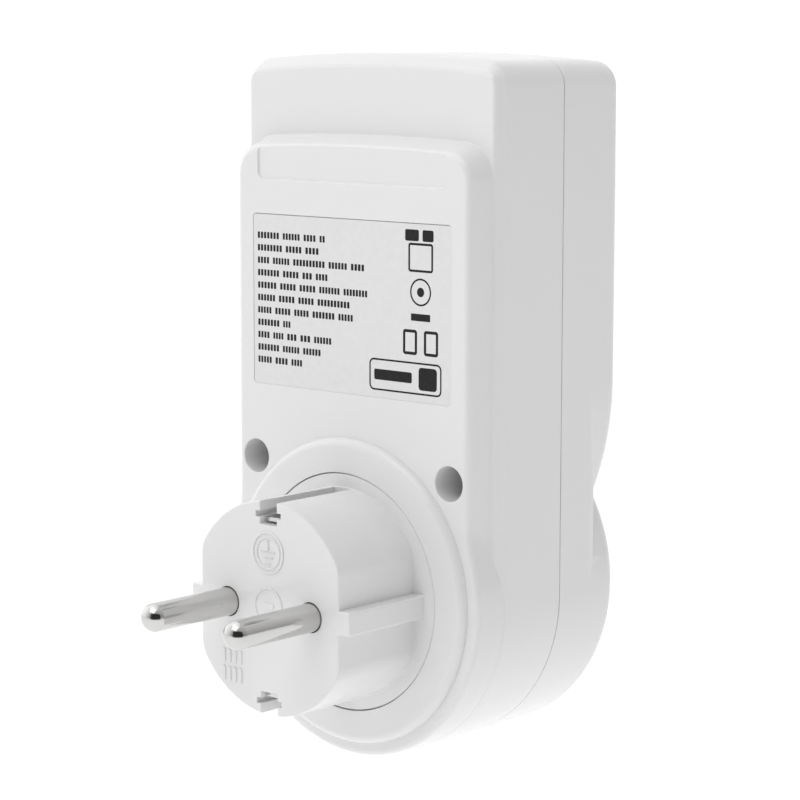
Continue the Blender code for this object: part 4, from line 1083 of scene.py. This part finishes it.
def label_print(face_y):
    """Plain ink shapes in the places of the rows and signs: small blocks and outlines, no lettering."""
    ink = []
    low_y, high_y = face_y + 0.002, face_y + 0.012

    def bar(centre_x, centre_z, half_x, half_z, corner=0.22):
        outline = rounded_rectangle(centre_x, centre_z, half_x, half_z, min(corner, half_x, half_z), 3)
        ink.append(prism(f"ink_{len(ink)}", outline, low_y, high_y))

    def outlined(centre_x, centre_z, half_x, half_z, corner, line):
        outer = rounded_rectangle(centre_x, centre_z, half_x, half_z, corner)
        inner = rounded_rectangle(centre_x, centre_z, half_x - line, half_z - line, corner - line)
        count = len(outer)
        points = [(x, y, z) for y in (low_y, high_y) for ring in (outer, inner) for x, z in ring]
        faces = []
        for i in range(count):
            j = (i + 1) % count
            for a, b in ((0, count), (2 * count, 3 * count), (0, 2 * count), (count, 3 * count)):
                faces.append([i + a, j + a, j + b, i + b])
        ink.append(mesh_object(f"ink_{len(ink)}", points, faces))

    left, top = LABEL_HIGH.x - 0.6, LABEL_HIGH.z - 3.4
    row_pitch, half_height, letter, word_gap = 2.17, 0.56, 0.74, 0.75
    for row, words in enumerate(LABEL_ROWS):
        x = left
        for width in words:
            count = max(2, round(width / letter))
            step = width / count
            for number in range(count):
                bar(x - step * (number + 0.5), top - row * row_pitch, 0.35 * step, half_height, 0.12)
            x -= width + word_gap
    column = LABEL_LOW.x + 6.3
    bar(column + 1.9, top + 1.75, 1.5, 0.95, 0.3)
    bar(column - 1.6, top + 1.75, 1.2, 0.95, 0.3)
    outlined(column, top - 1.9, 2.7, 2.4, 0.5, 0.38)
    outlined(column, top - 7.6, 2.3, 2.3, 2.3, 0.3)
    bar(column, top - 7.6, 0.8, 0.8, 0.8)
    bar(column, top - 11.8, 2.1, 0.6, 0.1)
    for offset in (2.3, -2.3):
        outlined(column + offset, top - 16.0, 1.55, 2.1, 0.5, 0.5)
    frame_x, frame_z = column + 3.4, top - 22.0
    outlined(frame_x, frame_z, 8.0, 2.7, 1.0, 0.3)
    bar(frame_x + 2.7, frame_z, 4.2, 0.9, 0.3)
    bar(frame_x - 5.0, frame_z, 2.0, 1.9, 0.6)
    return joined("label_print", ink)


def rating_label():
    """The label sheet, stuck on a little low and to one side of its pocket, and the ink on it."""
    spread, aside = 0.31, 0.05
    half_x, half_z = (LABEL_HIGH.x - LABEL_LOW.x) / 2 + spread, (LABEL_HIGH.z - LABEL_LOW.z) / 2 + spread

    def outline(inset):
        return rounded_rectangle(-aside, LABEL_Z - aside, half_x - inset, half_z - inset, 0.5 - inset)

    rings = [(outline(0), LABEL_LOW.y)] + rounded_edge(outline, LABEL_HIGH.y, 0.05, 1, 3)
    piece(loft("label_sheet", rings), "label_grey", ["rating_label"])
    piece(label_print(LABEL_HIGH.y), "label_grey", finish=INK.material)


def display_lens():
    """The lens and, printed on its back, the border round the view."""
    half_x, half_z = (LENS_HIGH.x - LENS_LOW.x) / 2, (LENS_HIGH.z - LENS_LOW.z) / 2
    back_y = LENS_HIGH.y

    def outline(inset):
        return rounded_rectangle(0, WINDOW_Z, half_x - inset, half_z - inset, 2.5 - inset)

    lens = loft("display_lens", [(outline(0), back_y)] + rounded_edge(outline, LENS_LOW.y, 0.3, -1, 5))
    piece(lens, "clear_lens", ["display_window"])
    edge = rounded_rectangle(0, WINDOW_Z, 23.6, 16.1, 2.3)
    border = prism("lens_border", edge, back_y + 0.03, back_y + 0.12)
    view = rounded_rectangle(0, WINDOW_Z, 20.6, 13.1, 1.2)
    carved(border, prism("lens_border_view", view, back_y - 1, back_y + 1))
    piece(border, "light_grey_plastic")


def zero_strokes(x, z, width, height, line):
    """The six strokes of a seven-segment zero as (centre x, centre z, half x, half z)."""
    half_w, half_h, half_l = width / 2, height / 2, line / 2
    along, up = half_w - half_l * 1.4, half_h / 2 - half_l * 1.2
    strokes = [(x, z + end * half_h, along, half_l) for _, end in ENDS]
    return strokes + [
        (x + side * half_w, z + end * half_h / 2, half_l, up) for _, side in SIDES for _, end in ENDS
    ]


def display_digits():
    """Seven-segment zeros behind the glass: a clock on top, the reading, and a second line below."""
    strokes = []
    for digits, offset, height, width, line in ((4, 7.6, 4.6, 2.6, 0.55), (5, -0.6, 8.0, 4.6, 0.95),
                                                (4, -9.4, 4.6, 2.6, 0.55)):
        step = width * 1.62
        start = 17.0 - step * (digits - 0.5)
        for number in range(digits):
            strokes += zero_strokes(start + step * number, WINDOW_Z + offset, width, height, line)
        dot_x = start + step * (digits - 2.5)
        strokes.append((dot_x, WINDOW_Z + offset - height / 2, line * 0.6, line * 0.6))
    strokes += [(0, WINDOW_Z + 4.2, 18.5, 0.12), (0, WINDOW_Z - 6.0, 18.5, 0.12)]
    parts = []
    for x, z, half_x, half_z in strokes:
        outline = rounded_rectangle(x, z, half_x, half_z, 0.12, 2)
        parts.append(prism(f"segment_{len(parts)}", outline, LCD_FACE_Y - 0.03, LCD_FACE_Y - 0.004))
    piece(joined("display_digits", parts), "lcd_glass", finish=INK.material)


def key_caps():
    """Crowned key caps: rounded rim, flange behind the wall and a stem over its rubber dome."""
    for name, angle in KEYS:
        low, high = box_mm(f"button_{name}")
        face_y, flange_y, flange_back_y = low.y, -53.8, -52.8
        sections = []
        for i in range(10):
            turn = radians(10 * i)
            sections.append((0.5 + 0.6 * sin(turn), 0.3 + 1.9 * sin(turn), face_y + 0.16 * (1 - cos(turn))))
        for i in range(1, 7):
            turn = radians(15 * i)
            rim_y = face_y + 0.16 + 0.7 * (1 - cos(turn))
            sections.append((1.1 + 0.4 * sin(turn), 2.2 + 0.7 * sin(turn), rim_y))
        sections += [(1.5, 2.9, flange_y), (1.5, 3.4, flange_y), (1.5, 3.4, flange_back_y)]
        sections += [(0.1, 1.6, flange_back_y), (0.1, 1.6, high.y)]
        rings = [(key_outline(angle, straight, radius), y) for straight, radius, y in sections]
        piece(loft(f"key_cap_{name}", rings), "key_grey", [f"button_{name}"], f"{name}_key")


def key_mat():
    """The silicone mat, and on it a dome under each key, each dome with a mesh of its own."""
    inner, outer, reach = 26.5, 34.0, 38
    outline = arc(0, 0, outer, 90 - reach, 90 + reach, 40) + arc(0, 0, inner, 90 + reach, 90 - reach, 40)
    base_y, dome_y = MAT_HIGH.y, MAT_LOW.y
    mat = softened(prism("key_mat", outline, base_y - 0.8, base_y), 0.12)
    piece(mat, "rubber_grey", ["keypad"])
    for name, angle in KEYS:
        at = (KEY_ARC_RADIUS * sin(radians(angle)), KEY_ARC_RADIUS * cos(radians(angle)))
        foot_y = base_y - 0.9
        dome = turned(f"key_dome_{name}", [
            (0, dome_y), (1.65, dome_y), (1.8, dome_y + 0.15), (1.85, dome_y + 1.3), (2.3, dome_y + 2.1),
            (2.95, foot_y - 0.15), (3.2, foot_y), (0, foot_y),
        ], at, 40)
        piece(dome, "rubber_grey")
        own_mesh(dome)


# --- stage, light and camera ---

def soft_box(name, centre, size, aim, strength, colour=(1, 1, 1)):
    """A soft box: an area light at centre, turned to look at aim. Places are metres."""
    light = bpy.data.lights.new(name, "AREA")
    light.shape = "RECTANGLE"
    light.size, light.size_y = size
    light.energy = strength
    light.color = colour
    made = bpy.data.objects.new(name, light)
    made.location = centre
    made.rotation_mode = "QUATERNION"
    made.rotation_quaternion = (Vector(aim) - Vector(centre)).to_track_quat("-Z", "Y")
    bpy.context.scene.collection.objects.link(made)
    return made


def flag_card(name, centre, half_wide, half_high, glow=0.0):
    """A black or dimly lit card that only reflections see, facing the part. Places are metres."""
    away = Vector(centre).normalized()
    across = away.cross(Vector((0, 0, 1))).normalized()
    up = across.cross(away)
    corners = [Vector(centre) + across * i * half_wide + up * j * half_high
               for i, j in ((-1, -1), (1, -1), (1, 1), (-1, 1))]
    flag = mesh_object(name, [tuple(1000 * value for value in corner) for corner in corners], [[0, 1, 2, 3]])
    cloth = Finish(f"{name}_cloth", (0.01, 0.01, 0.01), 0.95)
    cloth.vary_roughness(cloth.noise(5.0), 0.9, 1.0)
    cloth.glow(glow)
    flag.data.materials.append(cloth.material)
    flag.visible_camera = flag.visible_diffuse = flag.visible_transmission = flag.visible_shadow = False


def studio():
    """A pale floor well below the part, a white room brighter towards some sides, soft boxes behind and
    above it and flag cards beside it.
    """
    reach, floor_z = 4000, -160.0
    corners = [(i * reach, j * reach, floor_z) for i, j in ((-1, -1), (1, -1), (1, 1), (-1, 1))]
    floor = mesh_object("floor", corners, [[0, 1, 2, 3]])
    paper = Finish("floor_paper", (0.8, 0.8, 0.8), 0.9)
    paper.glow(0.345)
    paper.vary_roughness(paper.noise(40.0), 0.85, 0.95)
    floor.data.materials.append(paper.material)
    world = bpy.data.worlds.new("studio")
    world.use_nodes = True
    tree = world.node_tree
    background = tree.nodes["Background"]
    background.inputs["Color"].default_value = (1, 1, 1, 1)
    direction = tree.nodes.new("ShaderNodeTexCoord").outputs["Generated"]

    def step(kind, operation, source, *values):
        made = tree.nodes.new(kind)
        made.operation = operation
        for number, value in enumerate(values, 1):
            made.inputs[number].default_value = value
        tree.links.new(source, made.inputs[0])
        return made.outputs["Value"]

    level = None
    lobes = (((1, 0, 0), 1, 1.12), ((0, -1, 0), 1, 0.2), ((0, 0, 1), 1, 0.45), ((0, -1, 0), 5, 0.5))
    for side, sharpness, strength in lobes:
        facing = step("ShaderNodeVectorMath", "DOT_PRODUCT", direction, side)
        lit = step("ShaderNodeMath", "MAXIMUM", facing, 0.0)
        narrowed = step("ShaderNodeMath", "POWER", lit, sharpness)
        total = step("ShaderNodeMath", "MULTIPLY_ADD", narrowed, strength, 0.2)
        if level:
            tree.links.new(level, total.node.inputs[2])
        level = total
    tree.links.new(level, background.inputs["Strength"])
    bpy.context.scene.world = world
    middle = (0, -0.03, 0.03)
    soft_box("top_box", (0.1, 0.1, 0.8), (0.7, 0.7), middle, 0.68)
    soft_box("back_box", (0.0, 0.45, 0.75), (0.6, 0.6), middle, 1.67)
    flag_card("camera_side_flag", (-0.75, 0.85, 0.15), 1.0, 0.7)
    flag_card("far_side_flag", (0.66, -0.74, 0.4), 0.7, 0.34, 0.95)
    bpy.context.scene.view_settings.view_transform = "Standard"


def camera():
    """A long lens behind and to the side of the part, a little above its middle."""
    lens = bpy.data.cameras.new("camera")
    lens.sensor_width = 36.0
    lens.lens = 117.8
    lens.clip_start, lens.clip_end = 0.01, 20.0
    made = bpy.data.objects.new("camera", lens)
    ahead = Vector((0.6572, -0.7407, -0.1394)).normalized()
    right = ahead.cross(Vector((0, 0, 1))).normalized()
    up = right.cross(ahead)
    roll = 0.0012
    tilted_right = right * cos(roll) + up * sin(roll)
    tilted_up = up * cos(roll) - right * sin(roll)
    turn = Matrix((tilted_right, tilted_up, -ahead)).transposed()
    made.matrix_world = Matrix.Translation((-0.29861, 0.30375, 0.09498)) @ turn.to_4x4()
    bpy.context.scene.collection.objects.link(made)
    bpy.context.scene.camera = made


def build():
    camera()
    studio()
    finish_cad_nodes()
    rear_casing()
    front_casing()
    plug_moulding()
    face_marks()
    plug_pins()
    earth_contacts()
    socket_well()
    housing_screws()
    rating_label()
    display_lens()
    display_digits()
    key_caps()
    key_mat()


build()
